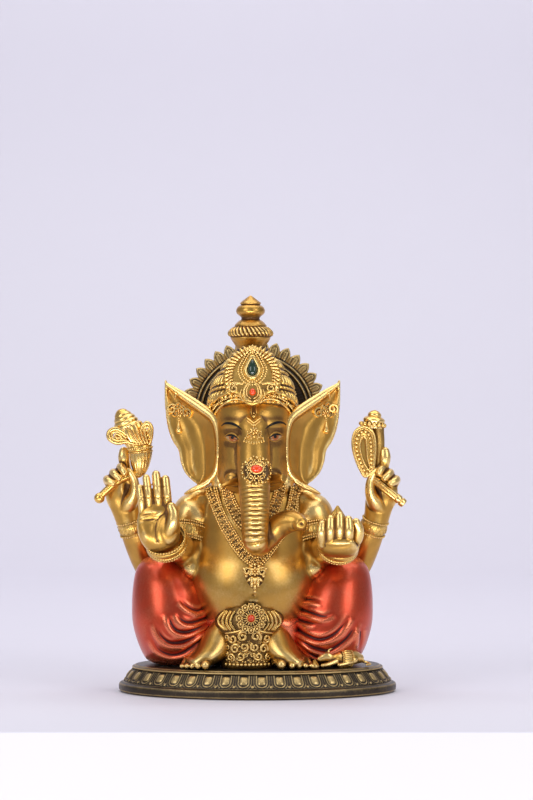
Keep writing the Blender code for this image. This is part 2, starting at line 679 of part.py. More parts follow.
def make_blessing_hand(forearm, bangle):
    """The right front hand, raised with its palm forward."""
    hand = limb("right_front_hand", [
        (-46.6, -33.5, 77.5, 6.6, 4.0), (-47.0, -34.6, 82.0, 9.0, 4.8), (-47.6, -34.6, 88.0, 9.8, 4.6),
        (-48.6, -34.0, 94.0, 9.2, 3.6), (-49.6, -33.8, 97.5, 8.2, 2.8)], 12, gold())
    tips = ((-57.0, 107.6, -55.6, 1.9), (-53.8, 112.6, -52.4, 2.1), (-49.8, 114.4, -48.8, 2.2),
            (-44.4, 111.8, -45.0, 2.1))
    fingers = []
    for k, (tip_x, tip_z, base_x, radius) in enumerate(tips):
        fingers.append(finger(f"finger_{k}", [
            (base_x, -33.8, 94.5), ((base_x + tip_x) / 2, -34.4, (95 + tip_z) / 2),
            (tip_x, -33.6, tip_z - radius)], radius))
    fingers.append(finger("thumb", [(-41.2, -34.0, 84.0), (-39.4, -35.6, 90.5), (-40.6, -36.2, 95.6)], 2.9))
    fuse(hand, fingers)
    return clear_of(hand, forearm, bangle)


def make_offering_hand(forearm, bangle, trunk):
    """The left front hand, cupped upwards round a sweet."""
    sweet = stack("offered_sweet", [
        (80.6, 43.6, -30.6, 5.0, 5.0), (84.0, 43.6, -30.6, 6.4, 6.2), (88.0, 43.6, -30.6, 6.0, 5.8),
        (92.0, 43.4, -30.6, 4.0, 4.0), (95.6, 43.2, -30.6, 1.6, 1.6), (97.4, 43.2, -30.6, 0.4, 0.4)],
        10, relief())
    hand = limb("left_front_hand", [
        (44.2, -28.0, 75.0, 7.6, 5.0), (44.0, -33.0, 74.6, 9.4, 5.0), (43.6, -37.0, 75.8, 9.6, 4.0),
        (43.4, -39.4, 77.6, 8.6, 3.0)], 12, gold())
    columns = ((33.8, 79.2, 88.4), (38.8, 77.8, 91.6), (43.6, 77.0, 92.8), (48.2, 78.0, 91.4))
    fingers = []
    for k, (x, low, high) in enumerate(columns):
        fingers.append(finger(f"finger_{k}", [
            (x * 0.9 + 4.3, -38.4, low), (x, -41.4, (low + high) / 2 - 1.0), (x, -39.2, high - 2.2)], 2.35))
    fingers.append(finger("thumb", [(51.4, -33.0, 76.0), (54.0, -34.8, 82.4), (52.0, -36.4, 88.0)], 2.7))
    fuse(hand, fingers)
    clear_of(hand, forearm, bangle, sweet, trunk)
    clear_of(sweet, forearm, bangle)
    return hand, sweet


def make_rear_arm(side, name, neighbours):
    """The raised rear arm: shoulder to elbow behind the knee, then up to the wrist."""
    upper = limb(f"{name}_rear_upper_arm", mirrored([
        (25.0, 14.0, 90.0, 10.0, 9.6), (36.0, 20.0, 76.0, 9.0, 9.0), (46.0, 23.6, 61.0, 8.4, 8.4),
        (50.4, 24.0, 54.4, 7.6, 7.6)], side), 12, gold())
    clear_of(upper, *neighbours)
    forearm = limb(f"{name}_rear_forearm", mirrored([
        (50.6, 22.6, 56.0, 7.6, 7.6), (56.4, 17.0, 66.0, 7.0, 7.0), (61.0, 12.0, 77.0, 6.0, 6.0),
        (63.8, 9.4, 86.0, 5.4, 5.4), (65.4, 8.6, 91.0, 5.4, 5.2)], side), 12, gold(),
        round_ends=(True, False))
    clear_of(forearm, upper, *neighbours)
    bangle = band(f"{name}_rear_bracelet", (62.8 * side, 10.4, 83.6), (0.27 * side, -0.26, 0.93),
                  6.6, 1.4, 8.4, relief())
    clear_of(bangle, forearm)
    return upper, forearm, bangle


def make_rear_hand(side, name, forearm, bangle, handle):
    """A fist closed round the handle, with the first finger raised."""
    hand = limb(f"{name}_rear_hand", mirrored([
        (65.8, 8.2, 92.6, 5.6, 4.8), (67.2, 7.6, 97.0, 8.2, 5.0), (68.4, 7.4, 102.0, 8.0, 5.2),
        (68.6, 7.6, 106.4, 6.4, 4.8)], side), 12, gold())
    fingers = []
    for k in range(4):
        x, z = 62.0 + 4.5 * k, 109.2 - 3.0 * k
        fingers.append(finger(f"finger_{k}", mirrored([
            (x + 1.0, 6.6, z - 1.4), (x + 2.2, 1.4, z + 0.6), (x - 0.2, -2.0, z - 3.0)], side), 2.5))
    fingers.append(finger("raised_finger", mirrored([
        (64.6, 7.6, 108.0), (66.6, 7.6, 116.0), (67.0, 7.2, 123.6)], side), 2.5))
    fingers.append(finger("thumb", mirrored([
        (61.0, 5.2, 97.4), (59.2, 1.4, 104.0), (61.2, -0.8, 109.4)], side), 2.6))
    fuse(hand, fingers)
    return clear_of(hand, forearm, bangle, handle)


def make_goad():
    """The right rear hand's attribute: a beaded handle and a flared, spiral-capped head."""
    goad = limb("goad", [
        (-80.0, 1.2, 99.0, 1.5, 1.5), (-72.0, 1.2, 102.4, 1.6, 1.6), (-64.0, 1.2, 106.6, 1.7, 1.7),
        (-60.4, 2.2, 110.0, 2.6, 2.6), (-58.4, 3.0, 116.0, 4.6, 4.0), (-57.8, 3.4, 122.0, 5.6, 5.0),
        (-58.6, 3.4, 125.4, 5.8, 5.4), (-62.4, 3.4, 132.0, 6.2, 5.6), (-65.4, 3.4, 138.0, 4.6, 4.6),
        (-67.4, 3.4, 142.2, 1.8, 1.8)], 10, relief())
    wings = [
        limb("left_lobe", [(-60.0, 2.4, 126.0, 2.4, 1.8), (-54.6, 1.6, 130.6, 3.0, 1.8),
                           (-53.4, 1.6, 137.0, 2.8, 1.7)], 8, relief()),
        limb("right_lobe", [(-61.0, 2.4, 125.0, 2.4, 1.8), (-67.4, 1.6, 130.0, 3.2, 1.8),
                            (-72.6, 1.6, 131.8, 3.0, 1.7)], 8, relief()),
        ball("pommel", (-79.6, 1.2, 98.8), (2.9, 2.9, 2.9), relief())]
    return fuse(goad, wings)


def make_noose():
    """The left rear hand's attribute: a leaf-shaped loop under a domed cap, with its handle."""
    shaft = limb("noose", [
        (80.4, 1.2, 95.6, 1.9, 1.9), (76.0, 1.2, 98.6, 1.7, 1.7), (68.0, 1.2, 103.4, 1.7, 1.7),
        (63.6, 1.6, 108.0, 2.0, 2.0), (62.8, 3.6, 118.0, 2.4, 2.2), (63.6, 3.6, 128.0, 2.6, 2.4),
        (63.0, 3.6, 135.0, 3.0, 3.0)], 8, relief())
    leaf = [
        (4.0, -14.0), (0.6, -9.6), (-3.4, -4.0), (-6.0, 2.6), (-6.2, 8.0), (-3.4, 12.4), (1.4, 14.0),
        (5.4, 11.4), (6.4, 6.0), (6.2, -2.0), (6.2, -10.0)]
    loop = plate("loop", [(x, z) for x, z in leaf], (58.0, -0.2, 123.0), 5.0, 0, relief())
    cap = stack("cap", [
        (134.0, 61.8, 3.2, 6.6, 6.0), (136.0, 61.8, 3.2, 7.8, 7.0), (137.8, 61.6, 3.2, 6.4, 6.0),
        (139.4, 61.4, 3.2, 6.2, 5.8), (141.0, 61.4, 3.2, 4.6, 4.4), (142.8, 61.4, 3.2, 3.4, 3.4),
        (144.2, 61.4, 3.2, 1.2, 1.2)], 12, relief())
    pommel = ball("pommel", (79.2, 1.2, 96.2), (2.6, 2.6, 2.6), relief())
    return fuse(shaft, [loop, cap, pommel])


# ---------------------------------------------------------------- necklaces

def make_necklaces(torso, head, trunk, ears, arms):
    """The wide collar, the long beaded necklace and its pendant."""
    tree = surface_of(torso)
    inner = between([(-14.6, 102.0), (-12.6, 98.4), (-7.4, 93.6), (0.0, 91.4), (7.4, 93.6), (12.6, 98.4),
                     (14.6, 102.0)], 2)
    outer = between([(-21.6, 97.6), (-18.6, 91.0), (-11.4, 84.4), (0.0, 80.6), (11.4, 84.4), (18.6, 91.0),
                     (21.6, 97.6)], 2)
    collar = bib_on("collar", tree, inner, outer, 1.5, relief())
    clear_of(collar, head, trunk, *ears, *arms)
    strand = [(-21.4, 94.4), (-18.2, 88.4), (-12.6, 81.0), (-6.6, 73.6), (-1.0, 68.4), (2.6, 68.4),
              (8.4, 73.8), (14.6, 81.2), (19.4, 88.4), (22.4, 94.4)]
    chain = cord_on("long_necklace", surface_of(torso, collar), strand, 1.3, relief())
    clear_of(chain, torso, collar, trunk, *arms)
    drop = [(0.0, 6.4), (2.6, 5.6), (5.4, 4.6), (6.2, 1.6), (4.0, -1.6), (2.4, -4.2), (0.0, -6.8),
            (-2.4, -4.2), (-4.0, -1.6), (-6.2, 1.6), (-5.4, 4.6), (-2.6, 5.6)]
    pendant = plate("pendant", drop, (1.2, -32.4, 60.4), 2.6, -4, relief())
    clear_of(pendant, torso, chain)
    return collar, chain, pendant


def main():
    for old in list(bpy.data.objects):
        bpy.data.objects.remove(old)
    plinth = make_plinth()
    torso = make_torso()
    seat, legs = make_dhoti(torso)
    make_mouse(plinth, legs[1])
    feet = [make_foot(side, name, seat, legs) for side, name in ((-1, "right"), (1, "left"))]
    make_apron(torso, seat, legs, feet)
    head = make_head(torso)
    trunk = make_trunk(head, torso)
    make_tusks(head, trunk)
    ears = [make_ear(side, name, head, torso) for side, name in ((-1, "right"), (1, "left"))]
    for side, name, ear in ((-1, "right", ears[0]), (1, "left", ears[1])):
        make_ear_jewel(side, name, ear)
    crown = make_crown(head, ears)
    make_halo([head, torso, *ears, *crown])
    make_face_jewels(head, trunk)
    right = make_front_arm(-1, "right", 0.0, torso, seat, legs, ears[0])
    left = make_front_arm(1, "left", 2.6, torso, seat, legs, ears[1])
    make_blessing_hand(right[1], right[3])
    make_offering_hand(left[1], left[3], trunk)
    make_necklaces(torso, head, trunk, ears, (right[0], left[0]))
    for side, name, front, attribute in (
            (-1, "right", right, make_goad()), (1, "left", left, make_noose())):
        upper, forearm, bangle = make_rear_arm(side, name, (torso, seat, legs[side], *front[:3]))
        make_rear_hand(side, name, forearm, bangle, attribute)


main()
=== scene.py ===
"""Looks of a seated, elephant-headed household idol in rubbed gold, red lacquer and dark bronze.

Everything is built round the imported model. Shapes are worked out in millimetres and are turned into
metres when a mesh is made. +Z is up, the figure faces -Y, and its own right hand is towards -X.
"""

import math

from functools import cache

import bmesh
import bpy
import numpy as np

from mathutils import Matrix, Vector


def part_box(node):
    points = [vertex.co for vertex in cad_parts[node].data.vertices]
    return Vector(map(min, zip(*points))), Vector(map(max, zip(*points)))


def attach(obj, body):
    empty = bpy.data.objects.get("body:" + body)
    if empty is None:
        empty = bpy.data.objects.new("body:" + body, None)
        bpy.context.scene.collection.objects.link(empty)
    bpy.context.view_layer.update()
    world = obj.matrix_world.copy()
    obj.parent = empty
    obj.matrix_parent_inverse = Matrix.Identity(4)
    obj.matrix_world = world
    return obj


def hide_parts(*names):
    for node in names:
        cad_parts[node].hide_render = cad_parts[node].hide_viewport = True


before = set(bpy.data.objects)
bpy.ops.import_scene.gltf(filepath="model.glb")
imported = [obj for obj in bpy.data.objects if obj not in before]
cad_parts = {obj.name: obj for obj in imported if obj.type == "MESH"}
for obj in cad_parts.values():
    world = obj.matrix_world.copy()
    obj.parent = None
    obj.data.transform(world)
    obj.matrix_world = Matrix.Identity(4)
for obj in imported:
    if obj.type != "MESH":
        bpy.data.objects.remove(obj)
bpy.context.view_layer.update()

bl_info = {
    "name": "Seated Idol Looks",
    "version": (1, 0, 0),
    "blender": (4, 5, 0),
    "location": "3D Viewport > Sidebar > Idol",
    "description": "Builds the castings, trims, stones and stage of a seated household idol",
    "category": "Add Mesh",
}

MM = 0.001
BODY = "root"
TAU = 2 * math.pi
AHEAD = -75.0  # y of a plane in front of the whole figure, from which things are laid on it
UNSEEN = -6.0  # y given to a spot that misses the surface it is laid on
RIGHT, LEFT = -1, 1  # the figure's own sides
SIDES = ((RIGHT, "right"), (LEFT, "left"))
WRIST_DROP = {RIGHT: 0.0, LEFT: 2.6}  # how much lower each front wrist lies
PLINTH_TOP = 14.0
PETAL_POINTS = 20  # points across one petal of the plinth or the halo


def corners(node):
    """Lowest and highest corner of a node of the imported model, in millimetres."""
    low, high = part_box(node)
    return np.array(low) / MM, np.array(high) / MM


PLINTH_LOW, PLINTH_HIGH = corners("base_plinth")
PLINTH_CENTRE = (PLINTH_LOW + PLINTH_HIGH) / 2
PLINTH_HALF = (PLINTH_HIGH - PLINTH_LOW) / 2
HALO_LOW, HALO_HIGH = corners("halo_plate")
HALO_CENTRE = (HALO_LOW + HALO_HIGH) / 2


# ------------------------------------------------------------------ settings a user would change

def colour(label, about, value):
    """A colour setting in linear light."""
    return bpy.props.FloatVectorProperty(name=label, description=about, subtype="COLOR", size=3,
        min=0.0, max=1.0, default=value)


def length(label, about, value):
    """A length setting, given in millimetres and kept in metres."""
    return bpy.props.FloatProperty(name=label, description=about, unit="LENGTH", default=value * MM)


class IdolSizes(bpy.types.PropertyGroup):
    """Sizes of the trims and of the sculpted skin."""
    skin: length("Skin", "Spacing of the points on the body castings", 0.62)
    fine_skin: length("Fine skin", "Spacing of the points on the head", 0.43)
    petal_pitch: length("Petal pitch", "Distance between petals round the plinth", 9.6)
    trunk_ring: length("Trunk ring", "Distance between the rings of the trunk", 2.25)
    halo_petals: bpy.props.IntProperty(name="Halo petals", description="Petals round the halo",
        default=36)


class IdolColours(bpy.types.PropertyGroup):
    """Colours of the lacquers, patinas and stones."""
    gold: colour("Gold", "Body of the gold lacquer", (0.62, 0.34, 0.070))
    gold_edge: colour("Gold edge", "Gold where it is rubbed bright", (0.95, 0.66, 0.24))
    # also the colour of the painted shade on the head's face and the trunk's sides
    gold_hollow_and_shade: colour("Gold hollow", "Toning in the hollows of the gold", (0.13, 0.055, 0.012))
    relief: colour("Relief", "Gold on the tops of the trims", (0.88, 0.54, 0.13))
    relief_ground: colour("Relief ground", "Dark ground between the trims", (0.085, 0.038, 0.008))
    red: colour("Red", "Body of the red lacquer", (0.66, 0.070, 0.024))
    red_edge: colour("Red edge", "Red where it is rubbed", (0.88, 0.22, 0.10))
    red_hollow: colour("Red hollow", "Toning in the folds of the cloth", (0.075, 0.008, 0.006))
    bronze: colour("Bronze", "Blackened bronze", (0.058, 0.045, 0.033))
    bronze_edge: colour("Bronze edge", "Rubbed gold on the bronze", (0.58, 0.41, 0.17))
    ruby: colour("Red stone", "Red-orange cabochons", (0.88, 0.065, 0.0))
    emerald: colour("Green stone", "Green-black cabochon", (0.009, 0.034, 0.016))
    table: colour("Table", "Table and backdrop", (0.79, 0.765, 0.85))


def sizes():
    """The size settings, in metres."""
    return bpy.context.scene.idol_sizes


def colours():
    """The colour settings, in linear light."""
    return bpy.context.scene.idol_colours


# ------------------------------------------------------------------ surfaces

class Surface:
    """Points in millimetres, faces as rows of four corners (the last is -1 on a triangle) and rub,
    which says how much wear each point gets, from 0 in the ground to 1 on top. On the head it is also
    lowered to paint shade."""

    def __init__(self, points, faces, rub_and_shade=None):
        self.points = np.asarray(points, float).reshape(-1, 3)
        self.faces = np.asarray(faces, int).reshape(-1, 4)
        level = 0.6 if rub_and_shade is None else rub_and_shade
        self.rub_and_shade = np.broadcast_to(np.asarray(level, float).ravel(), len(self.points)).copy()

    def moved(self, offset=(0, 0, 0), matrix=None):
        """The same surface turned by a matrix and moved by an offset."""
        points = self.points if matrix is None else self.points @ np.asarray(matrix).T
        return Surface(points + np.asarray(offset), self.faces, self.rub_and_shade)

    def mirrored(self, side):
        """The surface itself for side 1, or its mirror image in x for side -1."""
        return self if side > 0 else Surface(self.points * (-1, 1, 1), self.faces, self.rub_and_shade)


def joined(*surfaces):
    """Several surfaces as one."""
    starts = np.cumsum([0] + [len(s.points) for s in surfaces[:-1]])
    faces = [np.where(s.faces < 0, -1, s.faces + start) for s, start in zip(surfaces, starts)]
    return Surface(np.vstack([s.points for s in surfaces]), np.vstack(faces),
        np.concatenate([s.rub_and_shade for s in surfaces]))


def unit(vectors):
    """Vectors scaled to length one."""
    return vectors / np.maximum(np.linalg.norm(vectors, axis=-1, keepdims=True), 1e-9)


def held(values):
    """Values held between 0 and 1."""
    return np.clip(values, 0, 1)


def bell(distance):
    """A bell over a distance: e to minus its square."""
    return np.exp(-distance ** 2)


def spline(rows, steps, closed=False):
    """Catmull-Rom curve through the rows: each span's cubic is read at the same even parameters."""
    rows = np.asarray(rows, float)
    if closed:
        rows = np.vstack([rows[-1:], rows, rows[:2]])
    else:
        rows = np.vstack([2 * rows[:1] - rows[1:2], rows, 2 * rows[-1:] - rows[-2:-1]])
    a, b, c, d = rows[:-3, None], rows[1:-2, None], rows[2:-1, None], rows[3:, None]
    t = (np.arange(steps) / steps)[None, :, None]
    cubic = 2 * b + (c - a) * t + (2 * a - 5 * b + 4 * c - d) * t ** 2 + (3 * b - a - 3 * c
        + d) * t ** 3
    out = (0.5 * cubic).reshape(-1, rows.shape[1])
    return out if closed else np.vstack([out, rows[-2:-1]])


def spaced(path, count, closed=False):
    """The path's points moved along it to even spacing by arc length."""
    loop = np.vstack([path, path[:1]]) if closed else path
    run = np.concatenate([[0], np.cumsum(np.linalg.norm(np.diff(loop[:, :3], axis=0), axis=1))])
    at = np.linspace(0, run[-1], count, endpoint=not closed)
    return np.stack([np.interp(at, run, loop[:, k]) for k in range(loop.shape[1])], axis=1)


def run_length(path):
    """Length of a path: the sum of its steps."""
    return np.linalg.norm(np.diff(path[:, :3], axis=0), axis=1).sum()


def sheet_faces(rows, columns, wrap_rows=False, wrap_columns=False):
    """Faces of a grid of points, which may join end to end either way."""
    i = np.arange(rows if wrap_rows else rows - 1)[:, None]
    j = np.arange(columns if wrap_columns else columns - 1)[None, :]
    below, beside = (i + 1) % rows, (j + 1) % columns
    quads = [i * columns + j, i * columns + beside, below * columns + beside, below * columns + j]
    return np.stack(np.broadcast_arrays(*quads), -1).reshape(-1, 4)


def skin(rings, rub_and_shade=None, loop=False):
    """A skin over an (n, m, 3) array of rings, with a fan to the middle of each end ring, or
    joined end to end when loop is set."""
    n, m, _ = rings.shape
    faces = sheet_faces(n, m, loop, True)
    level = np.full((n, m), 0.6) if rub_and_shade is None else np.broadcast_to(rub_and_shade, (n, m))
    if loop:
        return Surface(rings, faces, level)
    points = np.vstack([rings.reshape(-1, 3), rings[0].mean(0)[None], rings[-1].mean(0)[None]])
    j = np.arange(m)
    beside = (j + 1) % m
    gap = np.full(m, -1)
    first = np.stack([np.full(m, n * m), beside, j, gap], 1)
    last = np.stack([np.full(m, n * m + 1), (n - 1) * m + j, (n - 1) * m + beside, gap], 1)
    worn = np.concatenate([level.ravel(), [level[0].mean(), level[-1].mean()]])
    return Surface(points, np.vstack([faces, first, last]), worn)


def along(path, up, loop=False):
    """Unit tangent, side and top directions at each point of a path, with top as near up as can
    be."""
    if loop:
        tangent = unit(np.roll(path, -1, 0) - np.roll(path, 1, 0))
    else:
        tangent = unit(np.gradient(path, axis=0))
    side = unit(np.cross(tangent, np.broadcast_to(up, path.shape)))
    return tangent, side, np.cross(side, tangent)


def circle(count, start=0.0):
    """Even angles once round, in radians."""
    return start + TAU * np.arange(count) / count


def around(count, across, tall=None, start=0.0):
    """Spots round an oval: across times the cosine and tall times the sine of even angles."""
    angle = circle(count, start)
    return np.stack([across * np.cos(angle), (tall or across) * np.sin(angle)], 1)


def limb(rows, sides=24, steps=6, up=(0, 0, 1), round_ends=(True, True)):
    """A round form carried along a smooth path: rows are (x, y, z, half width, half height), and
    each end may close in a dome of the end's own radius."""
    rows = spline(rows, steps)
    path, radii = rows[:, :3], rows[:, 3:5]
    tangent, side, top = along(path, up)
    dome = np.radians([25, 50, 70, 85])[:, None]
    parts = [(path, radii, side, top)]
    if round_ends[0]:
        reach = radii[0].min()
        parts.insert(0, (path[0] - tangent[0] * reach * np.sin(dome[::-1]),
                radii[0] * np.cos(dome[::-1]), np.repeat(side[:1], 4, 0), np.repeat(top[:1], 4, 0)))
    if round_ends[1]:
        reach = radii[-1].min()
        parts.append((path[-1] + tangent[-1] * reach * np.sin(dome), radii[-1] * np.cos(dome),
                np.repeat(side[-1:], 4, 0), np.repeat(top[-1:], 4, 0)))
    path, radii, side, top = (np.vstack(column) for column in zip(*parts))
    angle = circle(sides)
    rings = (path[:, None] + side[:, None] * (radii[:, :1] * np.cos(angle))[..., None]
        + top[:, None] * (radii[:, 1:] * np.sin(angle))[..., None])
    return skin(rings)


def wire(path, radius, sides=10, rub_and_shade=0.6, up=(0, 0, 1)):
    """A wire with domed ends along a path. Its radius may change on the way."""
    radius = np.broadcast_to(radius, len(path))[:, None]
    made = limb(np.hstack([path, radius, radius]), sides, 1, up=up)
    made.rub_and_shade[:] = rub_and_shade
    return made


def cord(path, radius, sides=8, up=(0, -1, 0), loop=False, rub_and_shade=0.75):
    """A round cord of even radius along a path."""
    _, side, top = along(path, up, loop)
    angle = circle(sides)
    radius = np.broadcast_to(radius, len(path))[:, None, None]
    rings = path[:, None] + radius * (side[:, None] * np.cos(angle)[:, None]
        + top[:, None] * np.sin(angle)[:, None])
    return skin(rings, rub_and_shade, loop)


def ovals(rows, sides=48, steps=6):
    """Level ovals stacked up: rows are (z, centre x, centre y, half width, half depth)."""
    rows = spline(rows, steps)
    angle = circle(sides)
    z, cx, cy, rx, ry = (rows[:, k, None] for k in range(5))
    rings = np.stack([cx + rx * np.cos(angle), cy + ry * np.sin(angle), z + 0 * angle], -1)
    return skin(rings)


def ball(centre, radii, sides=16, rows=10):
    """An ellipsoid: circles of latitude from pole to pole."""
    latitude = np.linspace(-math.pi / 2, math.pi / 2, rows + 2)[1:-1, None]
    angle = circle(sides)
    round_form = np.stack([np.cos(latitude) * np.cos(angle), np.cos(latitude) * np.sin(angle),
            np.sin(latitude) + 0 * angle], -1)
    return skin(round_form * np.asarray(radii) + np.asarray(centre))


def bead(sides=8):
    """One bead of radius 1 on its ground along +Z, for copying: a few circles and a top."""
    angle = circle(sides)
    height = np.array([-0.55, 0.0, 0.5, 0.87])[:, None]
    radius = np.array([0.75, 1.0, 0.87, 0.5])[:, None]
    rings = np.stack([radius * np.cos(angle), radius * np.sin(angle), height + 0 * angle], -1)
    made = skin(rings, held(0.15 + 0.9 * height) + 0 * angle)
    made.points[-1] = (0, 0, 1)
    made.rub_and_shade[-1] = 1.0
    return made


def copies(form, at, out, forward, size):
    """Copies of a form: its z axis goes along out, its y axis near forward, and size scales it."""
    at = np.atleast_2d(at)
    out = unit(np.broadcast_to(np.asarray(out, float), at.shape))
    forward = np.broadcast_to(np.asarray(forward, float), at.shape)
    across = unit(np.cross(forward, out))
    ahead = np.cross(out, across)
    size = np.broadcast_to(np.asarray(size, float), at.shape)
    axes = np.stack([across, ahead, out], 1)
    points = (form.points[None] * size[:, None]) @ axes + at[:, None]
    count, corners_each = len(at), len(form.points)
    faces = form.faces[None] + np.arange(count)[:, None, None] * corners_each
    faces = np.where(form.faces[None] < 0, -1, faces)
    return Surface(points, faces, np.tile(form.rub_and_shade, count))


def beads_along(path, radius, out=(0, -1, 0), pitch=1.9, loop=False):
    """A row of beads along a path, pitch radii apart."""
    total = run_length(np.vstack([path, path[:1]]) if loop else path)
    count = max(int(round(total / (pitch * radius))), 2)
    spots = spaced(path, count, loop)
    tangent, _, _ = along(spots[:, :3], out if np.ndim(out) == 1 else (0, -1, 0), loop)
    if np.ndim(out) == 2:
        out = spaced(np.hstack([path, out]), count, loop)[:, 3:]
    return copies(bead(), spots[:, :3], out, tangent, radius)


def scroll(turns=1.25, grip=0.16):
    """A flat spiral of radius 1 lying on its ground: r shrinks evenly with the angle."""
    t = np.linspace(0, 1, 22)
    angle = turns * TAU * t
    radius = 1 - 0.78 * t
    path = np.stack([radius * np.cos(angle), radius * np.sin(angle), 0.12 + 0.1 * t], 1)
    return cord(path, grip * (1.15 - 0.3 * t), 6, (0, 0, 1), rub_and_shade=0.8)


def flower(petals=6):
    """A flower of radius 1: a ring of drop-shaped petals round a bead."""
    angle = circle(petals)
    out = np.stack([np.cos(angle), np.sin(angle), 0 * angle], 1)
    ring = copies(bead(6), out * 0.62, (0, 0, 1), out, (0.27, 0.42, 0.34))
    return joined(ring, bead(6).moved((0, 0, 0.1), np.diag((0.3, 0.3, 0.45))))


# ------------------------------------------------------------------ meshes and pieces

def mesh_of(name, surface, tidy=True):
    """A mesh from a surface, in metres, with its faces turned outwards."""
    mesh = bpy.data.meshes.new(name)
    used = surface.faces >= 0
    loops = surface.faces[used]
    totals = used.sum(1)
    mesh.vertices.add(len(surface.points))
    mesh.vertices.foreach_set("co", (surface.points * MM).astype(np.float32).ravel())
    mesh.loops.add(len(loops))
    mesh.loops.foreach_set("vertex_index", loops.astype(np.int32))
    mesh.polygons.add(len(totals))
    mesh.polygons.foreach_set("loop_start", (np.cumsum(totals) - totals).astype(np.int32))
    mesh.polygons.foreach_set("loop_total", totals.astype(np.int32))
    mesh.update(calc_edges=True)
    mesh.attributes.new("rub_and_shade", "FLOAT", "POINT").data.foreach_set("value",
        surface.rub_and_shade.astype(np.float32))
    if tidy:
        work = bmesh.new()
        work.from_mesh(mesh)
        bmesh.ops.recalc_face_normals(work, faces=work.faces)
        work.to_mesh(mesh)
        work.free()
    return mesh


def read(items, name, kind=np.int32, width=1):
    """One property of all of a mesh's points, corners or faces, as an array."""
    values = np.empty(len(items) * width, kind)
    items.foreach_get(name, values)
    return values


def surface_of(mesh):
    """Points in millimetres and faces of a mesh of quads and triangles, and its point normals."""
    points = read(mesh.vertices, "co", np.float32, 3)
    normals = read(mesh.vertex_normals, "vector", np.float32, 3)
    starts, totals = read(mesh.polygons, "loop_start"), read(mesh.polygons, "loop_total")
    loops = read(mesh.loops, "vertex_index")
    fourth = np.where(totals == 4, loops[np.minimum(starts + 3, len(loops) - 1)], -1)
    faces = np.stack([loops[starts], loops[starts + 1], loops[starts + 2], fourth], 1)
    return Surface(points.reshape(-1, 3) / MM, faces), normals.reshape(-1, 3).astype(float)


def modified(surface, *modifiers):
    """The surface after a list of modifiers, each a (type, settings) pair."""
    work = bpy.data.objects.new("work", mesh_of("work", surface))
    bpy.context.scene.collection.objects.link(work)
    for kind, settings in modifiers:
        modifier = work.modifiers.new(kind.lower(), kind)
        for setting, value in settings.items():
            setattr(modifier, setting, value)
    bpy.context.view_layer.update()
    graph = bpy.context.evaluated_depsgraph_get()
    mesh = bpy.data.meshes.new_from_object(work.evaluated_get(graph))
    result = surface_of(mesh)
    start = work.data
    bpy.data.objects.remove(work)
    bpy.data.meshes.remove(start)
    bpy.data.meshes.remove(mesh)
    return result


def averaged(values, pairs, count, rounds):
    """Values evened out over a mesh: each round takes the mean of a point's neighbours."""
    a, b = pairs[:, 0], pairs[:, 1]
    ends = np.concatenate([a, b])
    others = np.concatenate([b, a])
    share = 1 / np.maximum(np.bincount(ends, minlength=count), 1)
    for _ in range(rounds):
        values = np.stack([np.bincount(ends, weights=values[others, k], minlength=count) * share
                for k in range(values.shape[1])], 1)
    return values


def edge_pairs(faces):
    """Each pair of neighbouring points of a mesh, once."""
    quads = faces[faces[:, 3] >= 0]
    triangles = faces[faces[:, 3] < 0][:, :3]
    pairs = [quads[:, [k, (k + 1) % 4]] for k in range(4)]
    pairs += [triangles[:, [k, (k + 1) % 3]] for k in range(3)]
    return np.unique(np.sort(np.vstack(pairs), 1), axis=0)


def wear(surface, normals, near=4, far=18, gain=2.2, base=0.55):
    """Rub from the form itself: a point that stands out from the evened-out form is rubbed, and
    one that lies deeper is toned, on a near and on a far scale."""
    pairs = edge_pairs(surface.faces)
    count = len(surface.points)
    close = averaged(surface.points, pairs, count, near)
    wide = averaged(close, pairs, count, far)
    height = ((surface.points - close) * normals).sum(1) * 2.0 + ((surface.points - wide)
        * normals).sum(1)
    height = averaged(height[:, None], pairs, count, 2)[:, 0]
    surface.rub_and_shade = held(base + gain * height)
    return surface


def cast(parts, step, smooth=4, sculpt=None, **wearing):
    """One casting: the parts' skins are merged by a voxel remesh and smoothed, then sculpt moves
    each point along its normal by the millimetres it returns."""
    made, normals = modified(joined(*parts), ("REMESH", {"mode": "VOXEL", "voxel_size": step * MM}),
        ("SMOOTH", {"factor": 0.5, "iterations": smooth}))
    if sculpt:
        made.points += normals * sculpt(made.points, normals)[:, None]
        made, normals = modified(made, ("SMOOTH", {"factor": 0.3, "iterations": 1}))
    return wear(made, normals, **wearing)


def brush(points, centre, radii):
    """A soft round stroke: 1 at the centre, falling off as a bell with the given radii."""
    return np.exp(-(((points - np.asarray(centre)) / np.asarray(radii)) ** 2).sum(1))


def ahead(spots):
    """Spots (x, z) of the front view as points in front of the figure."""
    spots = np.asarray(spots, float)
    return np.stack([spots[..., 0], np.full(spots.shape[:-1], AHEAD), spots[..., 1]], -1)


